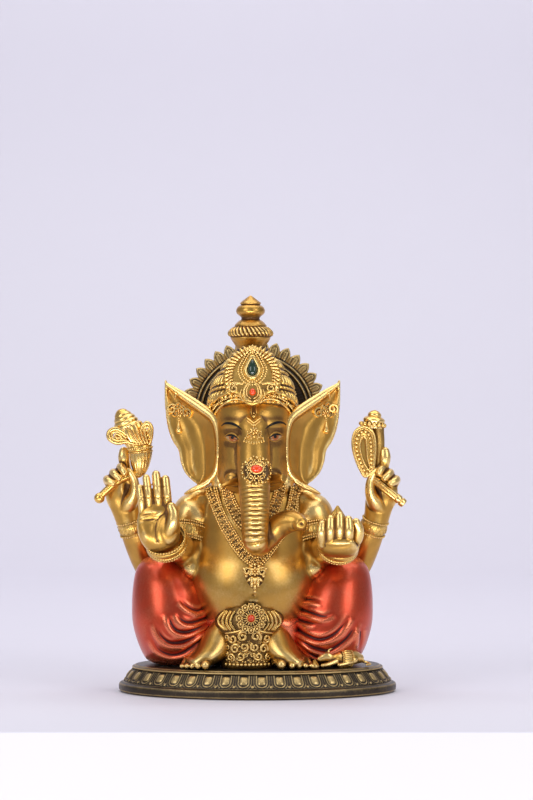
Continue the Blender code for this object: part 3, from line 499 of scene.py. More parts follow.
def laid_on(target, spots, lift=0.0):
    """Spots (x, z) of the front view laid on a surface and lifted off it along its normal. Each is
    cast backwards onto the surface, and then moved to the point of it that lies nearest. Gives the
    points and the normals, in the shape of the spots."""
    base = bpy.data.objects.new("target", mesh_of("target", target))
    bpy.context.scene.collection.objects.link(base)
    start = ahead(spots)
    seen, _ = modified(Surface(start, np.empty((0, 4), int)), ("SHRINKWRAP",
            {"target": base, "wrap_method": "PROJECT", "use_project_x": False,
            "use_project_y": True, "use_project_z": False, "use_positive_direction": True,
            "use_negative_direction": False}))
    seen.points[seen.points[:, 1] < AHEAD + 1, 1] = UNSEEN
    near = {"target": base, "wrap_method": "NEAREST_SURFACEPOINT", "wrap_mode": "ABOVE_SURFACE"}
    foot, _ = modified(seen, ("SHRINKWRAP", {**near, "offset": 0.0}))
    head, _ = modified(seen, ("SHRINKWRAP", {**near, "offset": MM}))
    mesh = base.data
    bpy.data.objects.remove(base)
    bpy.data.meshes.remove(mesh)
    normals = unit(head.points - foot.points)
    return (foot.points + normals * lift).reshape(start.shape), normals.reshape(start.shape)


def piece(name, surface, look, *nodes, sharp=50):
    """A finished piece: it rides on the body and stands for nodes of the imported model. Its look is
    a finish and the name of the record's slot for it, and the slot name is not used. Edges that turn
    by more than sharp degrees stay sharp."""
    finish, slot = look
    mesh = mesh_of(name, surface)
    mesh.materials.append(finish())
    mesh.shade_smooth()
    mesh.set_sharp_from_angle(angle=math.radians(sharp))
    made = bpy.data.objects.new(name, mesh)
    bpy.context.scene.collection.objects.link(made)
    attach(made, BODY)
    if nodes:
        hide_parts(*nodes)
    return made


# ------------------------------------------------------------------ finishes

class Value:
    """A number that varies over a surface. Arithmetic on it adds Math nodes."""

    def __init__(self, recipe, socket):
        self.recipe = recipe
        self.socket = socket

    def math(self, operation, *others):
        """The result of one Math node on this value and the others."""
        return Value(self.recipe, self.recipe.node("ShaderNodeMath", {"operation": operation},
                {0: self, **dict(enumerate(others, 1))}).outputs[0])

    def __add__(self, other):
        return self.math("ADD", other)

    def __sub__(self, other):
        return self.math("SUBTRACT", other)

    def __mul__(self, other):
        return self.math("MULTIPLY", other)

    def __pow__(self, other):
        return self.math("POWER", other)

    def __rsub__(self, other):
        return (self * -1) + other

    __radd__ = __add__
    __rmul__ = __mul__

    def step(self, low, high):
        """0 below low and 1 above high, with a smooth rise between."""
        return Value(self.recipe, self.recipe.node("ShaderNodeMapRange",
                {"interpolation_type": "SMOOTHSTEP"}, {"Value": self, "From Min": low,
                "From Max": high}).outputs["Result"])


class Recipe:
    """A material under construction, with its shader and the patterns that finishes share."""

    def __init__(self, name):
        self.material = bpy.data.materials.new(name)
        self.material.use_nodes = True
        self.tree = self.material.node_tree
        self.shader = self.tree.nodes["Principled BSDF"]
        self.place = self.node("ShaderNodeTexCoord").outputs["Object"]

    def node(self, kind, settings=None, inputs=None):
        """A node of a kind, with its settings, and with numbers or links for its sockets."""
        made = self.tree.nodes.new(kind)
        for setting, value in (settings or {}).items():
            setattr(made, setting, value)
        for key, value in (inputs or {}).items():
            self.feed(made.inputs[key], value)
        return made

    def feed(self, socket, value):
        """Puts a number or a link on a socket."""
        if isinstance(value, Value):
            self.tree.links.new(value.socket, socket)
        elif isinstance(value, bpy.types.NodeSocket):
            self.tree.links.new(value, socket)
        else:
            socket.default_value = value

    def attribute(self, name):
        """A value that the mesh holds at each point."""
        return Value(self, self.node("ShaderNodeAttribute",
                {"attribute_name": name}).outputs["Fac"])

    def noise(self, size, detail=3.0, stretch=(1.0, 1.0, 1.0)):
        """Cloudy noise from 0 to 1 whose blotches are about size millimetres across."""
        place = self.place
        if stretch != (1.0, 1.0, 1.0):
            place = self.node("ShaderNodeMapping", {}, {"Vector": place,
                    "Scale": stretch}).outputs[0]
        return Value(self, self.node("ShaderNodeTexNoise", {}, {"Vector": place,
                "Scale": 1 / (size * MM), "Detail": detail}).outputs[0])

    def blend(self, share, first, second):
        """A colour between two, by a share that varies."""
        mix = self.node("ShaderNodeMix", {"data_type": "RGBA"}, {"Factor": share,
                "A": first if not isinstance(first, tuple) else (*first, 1.0),
                "B": second if not isinstance(second, tuple) else (*second, 1.0)})
        return mix.outputs["Result"]

    def bump(self, height, depth):
        """Fine relief whose full height is depth millimetres."""
        made = self.node("ShaderNodeBump", {}, {"Height": height, "Distance": depth * MM,
                "Strength": 1.0})
        self.feed(self.shader.inputs["Normal"], made.outputs[0])

    def set(self, **sockets):
        """Numbers or links on the shader's sockets, named with underscores for spaces."""
        for name, value in sockets.items():
            self.feed(self.shader.inputs[name.replace("_", " ")], value)


def finish_named(name):
    """Makes a finish once, however many pieces ask for it."""
    def wrap(make):
        """Takes the function that fills a recipe in."""
        def get():
            """The finish's material."""
            return bpy.data.materials.get(name) or make(Recipe(name)).material
        return get
    return wrap


def blend_colours(first, second, share):
    """A plain colour between two."""
    return tuple(a + (b - a) * share for a, b in zip(first, second))


def toned_metal(recipe, ground, body, edge, low, high, rough, metallic, coat, grain):
    """Metallic lacquer toned dark in the hollows and rubbed bright on the heights. The toning and the
    rubbing follow the rub of the form, broken up by cloudy noise. Where the rub is lowered to paint
    shade, as on the head, this toning paints that shade."""
    cloud = recipe.noise(7.0)
    speck = recipe.noise(0.9, 2.0)
    level = recipe.attribute("rub_and_shade") + (cloud - 0.5) * 0.22 + (speck - 0.5) * 0.14
    toned_and_shaded = 1 - level.step(*low)
    rubbed = level.step(*high)
    tint = recipe.blend(cloud.step(0.3, 0.75) * 0.35, tuple(body), blend_colours(body, ground, 0.6))
    colour_now = recipe.blend(toned_and_shaded, recipe.blend(rubbed, tint, tuple(edge)), tuple(ground))
    recipe.set(Base_Color=colour_now, Metallic=metallic - toned_and_shaded * 0.25,
        Roughness=(toned_and_shaded * 0.22 - rubbed * 0.05) + (cloud * 0.1 + speck * 0.06 + (rough - 0.08)),
        Coat_Weight=coat, Coat_Roughness=0.18, IOR=1.5)
    recipe.bump(recipe.noise(0.35, 2.0) * 0.5 + recipe.noise(1.6, 3.0), grain)
    return recipe


@finish_named("gold_lacquer")
def gold_finish(recipe):
    """Gold lacquer over the smooth castings."""
    c = colours()
    return toned_metal(recipe, c.gold_hollow_and_shade, c.gold, c.gold_edge, (0.18, 0.46), (0.72, 1.0), 0.33,
        0.95, 0.12, 0.045)


@finish_named("gilt_relief")
def relief_finish(recipe):
    """Gold rubbed over a dark ground on the ornate trims."""
    c = colours()
    return toned_metal(recipe, c.relief_ground, c.relief, c.gold_edge, (0.06, 0.42), (0.62, 0.92),
        0.27, 0.95, 0.1, 0.03)


@finish_named("red_lacquer")
def red_finish(recipe):
    """Red lacquer with metal flake, dark in the folds."""
    c = colours()
    return toned_metal(recipe, c.red_hollow, c.red, c.red_edge, (0.06, 0.40), (0.64, 1.0), 0.32,
        0.82, 0.25, 0.05)


@finish_named("aged_bronze")
def bronze_finish(recipe):
    """Blackened bronze with rubbed edges."""
    c = colours()
    return toned_metal(recipe, blend_colours(c.bronze, (0, 0, 0), 0.4), c.bronze, c.bronze_edge,
        (0.10, 0.38), (0.50, 0.88), 0.38, 0.85, 0.0, 0.06)


def stone(recipe, body):
    """A polished cabochon: a clear glossy skin over cloudy colour."""
    cloud = recipe.noise(1.2, 2.0)
    recipe.set(Base_Color=recipe.blend(cloud.step(0.3, 0.8) * 0.5, tuple(body),
            blend_colours(body, (0, 0, 0), 0.5)), Roughness=0.08, IOR=1.55, Coat_Weight=0.6,
        Coat_Roughness=0.03)
    return recipe


@finish_named("red_glass")
def ruby_finish(recipe):
    """Red-orange stones."""
    return stone(recipe, colours().ruby)


@finish_named("green_glass")
def emerald_finish(recipe):
    """The green-black stone."""
    return stone(recipe, colours().emerald)


@finish_named("felt_pile")
def felt_finish(recipe):
    """Black felt: matted fibres."""
    fibre = recipe.noise(0.4, 4.0, (1.0, 3.0, 1.0))
    recipe.set(Base_Color=recipe.blend(fibre, (0.008, 0.008, 0.009), (0.035, 0.034, 0.036)),
        Roughness=0.95)
    recipe.shader.inputs["Sheen Weight"].default_value = 0.4
    recipe.bump(fibre, 0.3)
    return recipe


GOLD = (gold_finish, "antique_gold")
RELIEF = (relief_finish, "relief_gold")
RED = (red_finish, "metallic_red")
BRONZE = (bronze_finish, "dark_bronze")
RUBY = (ruby_finish, "red_stone")
EMERALD = (emerald_finish, "green_stone")
FELT = (felt_finish, "black_felt")


# ------------------------------------------------------------------ plinth and halo

def plinth_skin():
    """The plinth as one oval skin. Every level is an ellipse whose half depth is its half width
    less a fixed flare. Between the mouldings the slope carries petals: each is a dome inside two
    raised U-shaped rims, with a small bead between neighbours at the bottom."""
    flare = PLINTH_HALF[0] - PLINTH_HALF[1]
    full = PLINTH_HALF[0]
    profile = spaced(spline([(full - 1.6, 0.5), (full - 0.3, 0.9), (full, 1.8), (full, 3.4),
            (full - 0.4, 4.4), (full - 1.5, 5.0), (full - 2.4, 5.3)], 6), 34)
    low, high = 5.5, 12.0
    slope = np.stack([np.linspace(full - 2.6, full - 7.6, 34), np.linspace(low, high, 34)], 1)
    cap = spaced(spline([(full - 7.4, 12.1), (full - 6.9, 12.4), (full - 6.9, 12.9),
            (full - 7.5, 13.3), (full - 8.3, 13.5), (full - 8.5, 13.8), (full - 9.4, PLINTH_TOP)],
            5), 20)
    top = np.stack([np.linspace(full - 10.5, 3 + flare, 12), np.full(12, PLINTH_TOP)], 1)
    under = np.array([(full - 5.4, 1.3), (full - 5.4, 0.5)])
    rows = np.vstack([under, profile, slope, cap, top])
    kind = np.concatenate([np.zeros(len(under) + len(profile)), np.ones(len(slope)),
            np.zeros(len(cap) + len(top))])
    depth = full - flare
    perimeter = math.pi * (3 * (full + depth) - math.sqrt((3 * full + depth)
            * (full + 3 * depth))) - 12
    petals = int(round(perimeter / (sizes().petal_pitch / MM)))
    columns = petals * PETAL_POINTS
    fine = circle(4000)
    loop = np.stack([(full - 5) * np.cos(fine), (depth - 5) * np.sin(fine), 0 * fine, fine], 1)
    run = np.concatenate([[0], np.cumsum(np.linalg.norm(np.diff(loop[:, :3], axis=0), axis=1))])
    step = run[-1] + np.linalg.norm(loop[0, :3] - loop[-1, :3])
    angle = np.interp(np.arange(columns) / columns * step, run, fine)
    across = ((np.arange(columns) % PETAL_POINTS) / PETAL_POINTS - 0.5)[None] * 2
    up = ((rows[:, 1] - low) / (high - low))[:, None]
    bulge = np.exp(-((np.abs(across) / 0.42) ** 4 + (np.abs(up - 0.56) / 0.30) ** 4)) * 0.95
    reach = np.hypot(np.abs(across), np.minimum((up - 0.40) / 0.52, 0))
    inner = bell((reach - 0.58) / 0.10) * 0.6
    outer = bell((reach - 0.86) / 0.09) * 0.5
    dot = np.exp(-(((1 - np.abs(across)) / 0.16) ** 2 + ((up - 0.13) / 0.11) ** 2)) * 0.8
    rim = held(np.minimum(up / 0.04, (1 - up) / 0.05))
    relief = np.maximum.reduce([bulge, inner, outer, dot]) * rim * kind[:, None]
    radius = rows[:, :1] + relief * 0.8
    lift = relief * 0.35
    rings = np.stack([PLINTH_CENTRE[0] + radius * np.cos(angle), (radius - flare) * np.sin(angle),
            rows[:, 1:] + lift + 0 * angle], -1)
    bend = np.abs(np.gradient(np.gradient(rows[:, 0]))) + np.abs(
        np.gradient(np.gradient(rows[:, 1])))
    plain = np.clip(0.50 + bend * 3.2, 0, 0.84)[:, None] * (1 - kind[:, None])
    shade = np.where(kind[:, None] > 0, 0.22 + relief * 1.05, plain)
    level_top = rows[:, 1:] > PLINTH_TOP - 0.05
    return skin(rings, np.where(level_top, 0.56, held(shade)) + 0 * across)


def halo_skin():
    """The halo as a disc facing both ways. Round its edge stand pointed petals, each a raised
    outline round a grooved leaf, and two plain rings run inside them over a ground of fine rays.
    All of them are bells of the distance to a line: the petal's rim, its middle or a circle."""
    petals = sizes().halo_petals
    turns = petals * PETAL_POINTS
    tips, roots, inside, mean = 38.9, 31.6, 18, 36
    angle = circle(turns, math.radians(72.5))[None]
    phase = np.abs(((np.arange(turns) / PETAL_POINTS + 0.5) % 1 - 0.5) * 2)[None]
    centre_x, centre_y, centre_z = HALO_CENTRE
    edge = tips - 1.5 * phase ** 3 - 2.3 * phase
    share = np.linspace(0, 1, 46)[:, None]
    radius = inside + (edge - inside) * share
    inward = edge - radius
    beside = (1 - phase) * math.pi * mean / petals
    rim_gap = np.minimum(inward * 0.85, beside)
    petal = held((radius - roots) / 0.5)
    outline = bell((rim_gap - 0.6) / 0.52)
    leaf = bell(((1 - beside * petals / math.pi / mean) * 3.4) / 1.3) * held((inward - 1.6) / 0.8)
    leaf *= 1 - 0.8 * bell(phase * 3.4 / 0.32)
    rings = bell((radius - 30.6) / 0.50) + 0.9 * bell((radius - 28.2) / 0.42)
    rays = (0.5 + 0.5 * np.cos(angle * petals * 3)) * held((27.2 - radius) / 0.6)
    height = petal * (0.05 + np.maximum(outline, 0.85 * leaf)) + rings + 0.22 * rays
    half = 1.25
    front = np.stack([centre_x + radius * np.cos(angle), centre_y
            - half * (0.55 + 0.45 * (1 - share ** 12)) - 0.8 * height * (1 - share ** 16) + 0.6,
            centre_z + radius * np.sin(angle)], -1)
    back = np.stack([centre_x + radius * np.cos(angle), centre_y
            + half * (0.55 + 0.45 * (1 - share ** 12)) + 0.35 * height * (1 - share ** 16),
            centre_z + radius * np.sin(angle)], -1)
    shade = held(0.20 + 0.16 * petal + 1.15 * height) + 0 * angle
    return skin(np.concatenate([front, back[::-1]]), np.concatenate([shade, shade[::-1]]))


def felt_skin():
    """The felt pad: a thin oval with a soft rounded edge."""
    low, high = corners("felt_pad")
    centre, half = (low + high) / 2, (high - low) / 2
    levels = ((0.0, 0.9), (0.0, 0.25), (0.35, 0.0), (0.9, 0.0), (1.2, 0.3), (1.2, 0.9))
    angle = circle(96)
    rings = np.stack([np.stack([centre[0] + (half[0] - inset) * np.cos(angle),
            centre[1] + (half[1] - inset) * np.sin(angle), z + 0 * angle], -1)
            for z, inset in levels])
    return skin(rings)


class IDOL_OT_plinth(bpy.types.Operator):
    """Builds the lotus plinth with its felt pad"""
    bl_idname = "idol.plinth"
    bl_label = "Plinth"

    def execute(self, context):
        piece("lotus_plinth", plinth_skin(), BRONZE, "base_plinth", sharp=70)
        piece("felt_base_pad", felt_skin(), FELT, "felt_pad")
        return {"FINISHED"}


class IDOL_OT_halo(bpy.types.Operator):
    """Builds the petal-edged halo"""
    bl_idname = "idol.halo"
    bl_label = "Halo"

    def execute(self, context):
        x, y, z = HALO_CENTRE
        post = limb([(x, y, z, 8.0, 8.0), (x, y - 5.0, z, 6.6, 6.6), (x, 14.0, z, 6.6, 6.6)], 40,
            round_ends=(False, False))
        post.rub_and_shade[:] = 0.3
        piece("sun_halo", joined(halo_skin(), post), BRONZE, "halo_plate", sharp=70)
        return {"FINISHED"}


# ------------------------------------------------------------------ ornaments

def square_to(axis):
    """An axis as a unit direction, and two directions square to it and to each other."""
    axis = unit(np.asarray(axis, float))
    side = unit(np.cross(axis, (0, 0, 1) if abs(axis[2]) < 0.9 else (0, 1, 0)))
    return axis, side, np.cross(axis, side)


def hoop(centre, axis, radius, count):
    """Points round a circle about an axis, and their outward directions."""
    axis, side, top = square_to(axis)
    angle = circle(count)[:, None]
    out = side * np.cos(angle) + top * np.sin(angle)
    return np.asarray(centre) + radius * out, out


def bead_hoop(centre, axis, radius, bead_radius, pitch=1.95):
    """A ring of beads that face outwards."""
    count = int(round(TAU * radius / (pitch * bead_radius)))
    at, out = hoop(centre, axis, radius, count)
    return copies(bead(), at, out, unit(np.asarray(axis, float)), bead_radius)


def rope(path, radius, lobes=2, pitch=3.0, up=(0, -1, 0), loop=False):
    """A twisted cord: its section is a circle with lobes, turned evenly along the path."""
    _, side, top = along(path, up, loop)
    run = np.concatenate([[0], np.cumsum(np.linalg.norm(np.diff(path, axis=0), axis=1))])[:, None]
    total = run[-1, 0] + (np.linalg.norm(path[0] - path[-1]) if loop else 0)
    pitch = total / max(round(total / pitch), 1)
    angle = circle(12)[None]
    strand = np.abs(np.cos(lobes * 0.5 * (angle - TAU * run / pitch)))
    reach = radius * (0.72 + 0.28 * strand)
    rings = (path[:, None] + side[:, None] * (reach * np.cos(angle))[..., None]
        + top[:, None] * (reach * np.sin(angle))[..., None])
    return skin(rings, 0.15 + 0.75 * strand, loop)


def bangle(centre, axis, inner, wall, width, relief=None, turns=144):
    """A band round an axis. Its section is a squared oval, and its outer face is raised by relief,
    which takes the angle round it and the share of the way across."""
    axis, side, top = square_to(axis)
    angle = circle(turns)[:, None]
    round_section = circle(28)[None]
    bulge = np.sign(np.cos(round_section)) * np.abs(np.cos(round_section)) ** 0.45
    across = np.sign(np.sin(round_section)) * np.abs(np.sin(round_section)) ** 0.45
    face = held(bulge) ** 3
    height = relief(angle, across / 2 + 0.5) if relief else 0.5 + 0 * angle
    reach = inner + wall / 2 * (1 + bulge) + height * face * 0.6
    rings = (np.asarray(centre) + (side * np.cos(angle) + top * np.sin(angle))[:, None]
        * reach[..., None] + axis * (across * width / 2 + 0 * angle)[..., None])
    return skin(rings, held(0.26 + 0.7 * height * face) + 0 * reach, True)


def zigzag(waves):
    """Relief for a band: a ridge that runs in sharp waves between the two edges."""
    def height(angle, share):
        """Bells across the band about the wave and about its opposite."""
        wave = np.abs((angle * waves / TAU * 2) % 2 - 1)
        second = np.abs((angle * waves / TAU * 2 + 1) % 2 - 1)
        return np.maximum(bell((share - 0.25 - 0.5 * wave) / 0.10),
            0.5 * bell((share - 0.25 - 0.5 * second) / 0.08))
    return height


def ribs(waves):
    """Relief for a band: upright ribs side by side."""
    def height(angle, share):
        """The size of the cosine of the angle times half the ribs."""
        return np.abs(np.cos(angle * waves / 2)) ** 0.8 + 0 * share
    return height


def set_on(target, form, spots, size, spin=0.0, lift=0.0):
    """Copies of a form set on a surface at spots of the front view. Spin turns each one about its
    own normal, in degrees."""
    at, out = laid_on(target, spots, lift)
    side = unit(np.cross(np.broadcast_to((0.0, 0.0, 1.0), at.shape), out))
    top = np.cross(out, side)
    turn = np.radians(np.broadcast_to(spin, len(at)))[:, None]
    return copies(form, at, out, top * np.cos(turn) + side * np.sin(turn), size)


def on_front(target, spots, steps=6, lift=0.0):
    """A smooth path laid on a surface through spots of the front view, and its normals."""
    return laid_on(target, spline(spots, steps), lift)


def between_edges(inner, outer, share):
    """Lines between two edges, a share of the way across: one for a number, a sheet for many."""
    low, high = spline(inner, 8), spline(outer, 8)
    if np.ndim(share):
        low, high = low[:, None], high[:, None]
    return low * (1 - share) + high * share


def strip_on(target, inner, outer, lift, thickness, ground):
    """A thin strip laid on a surface between two edges, with rounded edges and its back closed.
    Its thickness follows the sine of the share of the way across."""
    share = np.linspace(0, 1, 7)[None, :, None]
    at, out = laid_on(target, between_edges(inner, outer, share))
    crown = np.sin(np.pi * share) ** 0.35
    front = at + out * (lift + thickness * crown)
    back = at - out * 0.5
    return skin(np.concatenate([front, back[:, ::-1]], axis=1), ground)


# ------------------------------------------------------------------ body

UPPER_ARM = [(26.5, 3.5, 96.5, 9.0, 9.5), (30.0, 2.5, 91.5, 11.8, 11.8),
    (32.6, 0.5, 84.0, 10.6, 10.6), (33.2, -3.4, 77.0, 9.4, 9.4), (31.8, -9.0, 69.5, 9.0, 9.0),
    (30.6, -12.6, 64.6, 6.4, 6.4)]


def side_rows(rows, side):
    """Rows of a limb on the figure's left, or mirrored to its right for side -1."""
    return [(row[0] * side, *row[1:]) for row in rows]


def forearm_rows(side, drop):
    """From the elbow on the knee to the wrist; drop lowers the wrist."""
    return side_rows([(33.8, -8.0, 72.0, 7.8, 7.8), (37.8, -15.0, 75.0 - drop * 0.4, 7.8, 7.8),
            (41.6, -21.5, 77.4 - drop * 0.8, 7.6, 7.4), (44.8, -27.4, 79.2 - drop, 7.2, 7.0)], side)


def torso_parts():
    """The belly, chest, shoulders and neck, and both front arms down to the wrists."""
    trunk_of_body = ovals([(31.0, 0, 2.0, 15, 15), (34.5, 0, 1.0, 26, 24.5),
            (42.0, 0, 0.0, 32, 29.5), (54.0, 0, -1.0, 34.8, 31.4), (66.0, 0, -1.0, 33.5, 30),
            (76.0, 0, 0.0, 30.5, 25.5), (84.0, 0, 1.5, 29, 21.5), (92.0, 0, 3.0, 28.5, 18.5),
            (99.0, 0, 3.5, 25.5, 16), (103.0, 0, 3.0, 26.5, 14.5), (107.0, 0, 2.0, 23.5, 13),
            (111.5, 0, 1.0, 17.5, 12)], 96)
    parts = [trunk_of_body]
    for side, drop in WRIST_DROP.items():
        parts.append(ball((16.0 * side, -3.0, 108.5), (6.0, 9.0, 7.5), 32, 24))
        parts.append(limb(side_rows(UPPER_ARM, side), 40))
        parts.append(limb(forearm_rows(side, drop), 36, round_ends=(True, False)))
    return parts


def torso_sculpt(points, normals):
    """The navel and the soft breast line."""
    navel = -0.8 * brush(points, (0.6, -31.5, 51.2), (1.2, 4, 0.9))
    lip = 0.7 * brush(points, (0.6, -31.5, 48.8), (1.9, 4, 1.3))
    front = held(-normals[:, 1])
    breast = 1.2 * (brush(points, (-13, -19, 90), (9, 12, 6)) + brush(points, (13, -19, 90),
            (9, 12, 6)))
    return navel + lip + breast * front


@cache
def body_casting():
    """The torso and front arms as one casting, with its hollows kept light."""
    body = cast(torso_parts(), sizes().skin / MM, 14, torso_sculpt, gain=0.8, base=0.68)
    body.rub_and_shade = np.clip(body.rub_and_shade, 0.36, 1)
    return body


class IDOL_OT_body(bpy.types.Operator):
    """Casts the torso with the front arms"""
    bl_idname = "idol.body"
    bl_label = "Body"

    def execute(self, context):
        piece("torso_casting", body_casting(), GOLD, "torso", "right_upper_arm", "left_upper_arm",
            "right_forearm", "left_forearm")
        return {"FINISHED"}


# ------------------------------------------------------------------ head

TRUNK = [(0.3, -19.0, 139.0, 8.2, 6.6), (0.5, -22.6, 131.0, 8.6, 7.6),
    (0.7, -26.5, 122.5, 8.6, 8.2), (1.0, -32.0, 110.0, 8.2, 8.0), (1.4, -35.5, 98.0, 7.5, 7.3),
    (1.5, -37.4, 87.0, 6.9, 6.9), (1.8, -37.2, 80.0, 6.5, 6.5), (4.0, -33.6, 77.6, 6.0, 6.0),
    (8.6, -30.2, 81.6, 5.8, 5.8), (14.0, -30.6, 87.0, 6.1, 6.1), (19.0, -33.4, 89.4, 5.8, 5.8),
    (22.8, -36.6, 89.2, 4.8, 4.8), (24.4, -38.8, 88.6, 3.8, 3.8)]
EYES = ((-10.3, 131.6), (11.9, 132.0))


def head_parts():
    """Skull, cheeks, trunk, the whole tusk and the stub."""
    skull = ovals([(102.0, 0, -3.5, 10, 10), (107.0, 0, -5, 17.6, 16.0),
            (114.0, 0, -6.5, 18.6, 19.0), (122.0, 0, -6, 18.2, 20.2), (131.0, 0, -5, 18.6, 21.2),
            (140.0, 0, -3, 19.6, 21.5), (148.0, 0, -1, 19.4, 20.0), (153.5, 0, 1, 15.0, 14.0)], 96,
        8)
    parts = [skull, limb(TRUNK, 48, 10, up=(0, -1, 0.2))]
    parts.append(limb([(-7.4, -25.0, 109.8, 1.9, 1.9), (-12.0, -29.5, 108.6, 1.5, 1.5),
            (-15.4, -32.4, 107.4, 0.8, 0.8)], 20))
    parts.append(limb([(9.6, -24.0, 110.6, 2.6, 2.6), (14.0, -28.6, 111.0, 2.5, 2.5),
            (16.4, -30.8, 111.2, 2.3, 2.3)], 20, round_ends=(True, False)))
    parts.append(ball((-9.5, -21.0, 110.6), (4.8, 4.4, 3.8), 32, 24))
    parts.append(ball((10.4, -21.0, 110.6), (5.0, 4.4, 3.8), 32, 24))
    return parts


def head_sculpt(points, normals):
    """Sockets, eyeballs, brows and cheeks as soft strokes, and the rings of the trunk: grooves at
    even steps of arc length down its path, fading out round its sides."""
    front = held(-normals[:, 1] * 1.6)
    height = np.zeros(len(points))
    for x, z in EYES:
        inward = -np.sign(x)
        height -= 1.2 * brush(points, (x + inward * 1.0, -24.0, z - 0.4), (5.8, 9, 5.0))
        height += 1.9 * brush(points, (x, -24.0, z), (3.5, 9, 2.2))
        height += 0.9 * brush(points, (x - inward * 0.5, -24.0, z + 6.6), (6.2, 9, 2.2))
        height += 0.4 * brush(points, (x - inward * 1.5, -22.0, z - 10.0), (4.6, 9, 6.5))
        height -= 0.25 * brush(points, (x + inward * 2.6, -24.0, z - 12.0), (2.2, 9, 9.0))
        height += 0.3 * brush(points, (x * 0.7, -24.0, z + 12.6), (6.0, 9, 4.0))
    height -= 0.7 * brush(points, (0.5, -24.0, 145.6), (2.0, 9, 4.5))
    height *= front
    path = spline(TRUNK, 24)[:, :3]
    run = np.concatenate([[0], np.cumsum(np.linalg.norm(np.diff(path, axis=0), axis=1))])
    near = np.argmin(((points[:, None] - path[None, ::2]) ** 2).sum(2), axis=1) * 2
    near = np.minimum(near, len(path) - 2)
    tangent = unit(np.gradient(path, axis=0))[near]
    at = run[near] + ((points - path[near]) * tangent).sum(1)
    away = np.linalg.norm(points - path[near], axis=1)
    first = run[np.argmin(np.abs(path[:, 2] - 107.0))]
    pitch = sizes().trunk_ring / MM
    wave = np.abs(np.sin(np.pi * (at - first) / pitch)) ** 0.6
    side = np.abs(points[:, 0] - path[near, 0])
    turn = held(1.25 - side / 6.2) * held(-normals[:, 1] * 2.0)
    span = held((at - first) / 1.0) * held((first + 30.5 - at) / 5.0)
    height += (wave - 0.62) * 0.95 * turn * span * (away < 11)
    height -= 1.3 * brush(points, (25.2, -42.4, 88.4), (1.8, 2.4, 1.8))
    return height


@cache
def head_casting():
    """The head as one casting, bright on the brow and cheeks, with painted shade: the face under the
    crown and ears darkened evenly, the whole head a little, and the trunk's sides and curled tip
    more.
    """
    head = cast(head_parts(), sizes().fine_skin / MM, 9, head_sculpt, gain=1.5)
    # where the face lies under the crown and between the ears: the mask of the painted shade
    shaded = held((head.points[:, 2] - 106) / 6) * held(-head.points[:, 1] / 14)
    # painted shade on the face: its rub is held at 0.5 or more and lowered by 0.2, and the whole head
    # is lowered by 0.06
    head.rub_and_shade = head.rub_and_shade * (1 - shaded) + (np.clip(head.rub_and_shade, 0.5, 1) - 0.2) * shaded - 0.06
    # painted shade on the trunk's sides and curled tip, and elsewhere outside the face away from the
    # trunk's middle line
    head.rub_and_shade -= 0.22 * held((np.abs(head.points[:, 0] - 1.2) - 4.0) / 3.2) * (1 - shaded)
    return head


EAR_OUTER = [(45.4, 1.5, 161.0), (45.4, 1.5, 153.0), (45.0, 1.5, 146.0), (43.9, 1.5, 137.5),
    (41.6, 1.0, 130.6), (38.2, 0.5, 125.0), (37.2, 0.0, 119.6), (35.2, -1.0, 114.2),
    (31.8, -2.0, 110.2), (28.0, -2.6, 107.4)]
EAR_INNER = [(44.4, 0.6, 159.0), (35.0, -2.0, 152.6), (26.6, -5.0, 147.0), (19.6, -8.0, 141.4),
    (17.4, -9.6, 134.0), (17.2, -9.6, 126.0), (17.7, -8.8, 118.4), (19.4, -7.4, 112.6),
    (22.8, -5.8, 108.8), (26.6, -4.4, 106.6)]


def ear_parts(side):
    """A dished ear: a sheet between the wavy outer edge and the edge along the face, hollowed
    backwards, with one soft upright fold, and a rolled rim round it."""
    outer = spaced(spline(EAR_OUTER, 10), 72)
    inner = spaced(spline(EAR_INNER, 10), 72)
    share = np.linspace(0, 1, 40)[None, :, None]
    down = np.linspace(0, 1, 72)[:, None]
    sheet = inner[:, None] * (1 - share) + outer[:, None] * share
    s = share[..., 0]
    deep = np.sin(np.pi * held(s * 1.04)) * (0.30 + 0.70 * np.sin(np.pi * held(down * 0.95 + 0.03)))
    fold = bell((s - 0.60 - 0.10 * down) / 0.13) * held((down - 0.22) / 0.25) * held((1.02 - down)
        / 0.2)
    crease = bell((s - 0.34) / 0.10) * held((down - 0.30) / 0.3) * held((1.0 - down) / 0.2)
    flare = s ** 4 * np.sin(np.pi * held(down * 1.1)) * 1.0
    sheet[..., 1] += 3.6 * deep - 1.5 * fold + 0.8 * crease - flare
    edge = held(np.minimum(s, 1 - s) / 0.04) ** 0.5
    ends = np.clip(np.minimum(down, 1 - down) / 0.03, 0.15, 1) ** 0.5
    half = (0.95 * edge * ends + 0.08)[..., None]
    du, dv = np.gradient(sheet, axis=1), np.gradient(sheet, axis=0)
    out = unit(np.cross(du, dv))
    out *= -np.sign(out[..., 1:2] + 1e-9)
    body = skin(np.concatenate([sheet + out * half, (sheet - out * half)[:, ::-1]], axis=1))
    rolled = spaced(spline([(*point, radius) for point, radius in zip(EAR_INNER,
            (1.0, 2.3, 2.6, 2.5, 1.9, 1.5, 1.35, 1.35, 1.4, 1.2))], 10), 110)
    rim = wire(rolled[:, :3] + (0.2, -0.4, 0.2), rolled[:, 3], 16)
    far = spaced(spline(EAR_OUTER, 10), 110)
    edge_roll = wire(far + (-0.3, -0.9, 0), 0.8, 12)
    lobe = limb([(22.8, -6.2, 108.6, 1.7, 1.5), (26.6, -5.6, 106.4, 2.0, 1.6),
            (31.0, -5.2, 104.4, 1.7, 1.4), (35.0, -4.6, 102.4, 0.9, 0.8)], 16)
    return [made.mirrored(side) for made in (body, rim, edge_roll, lobe)]


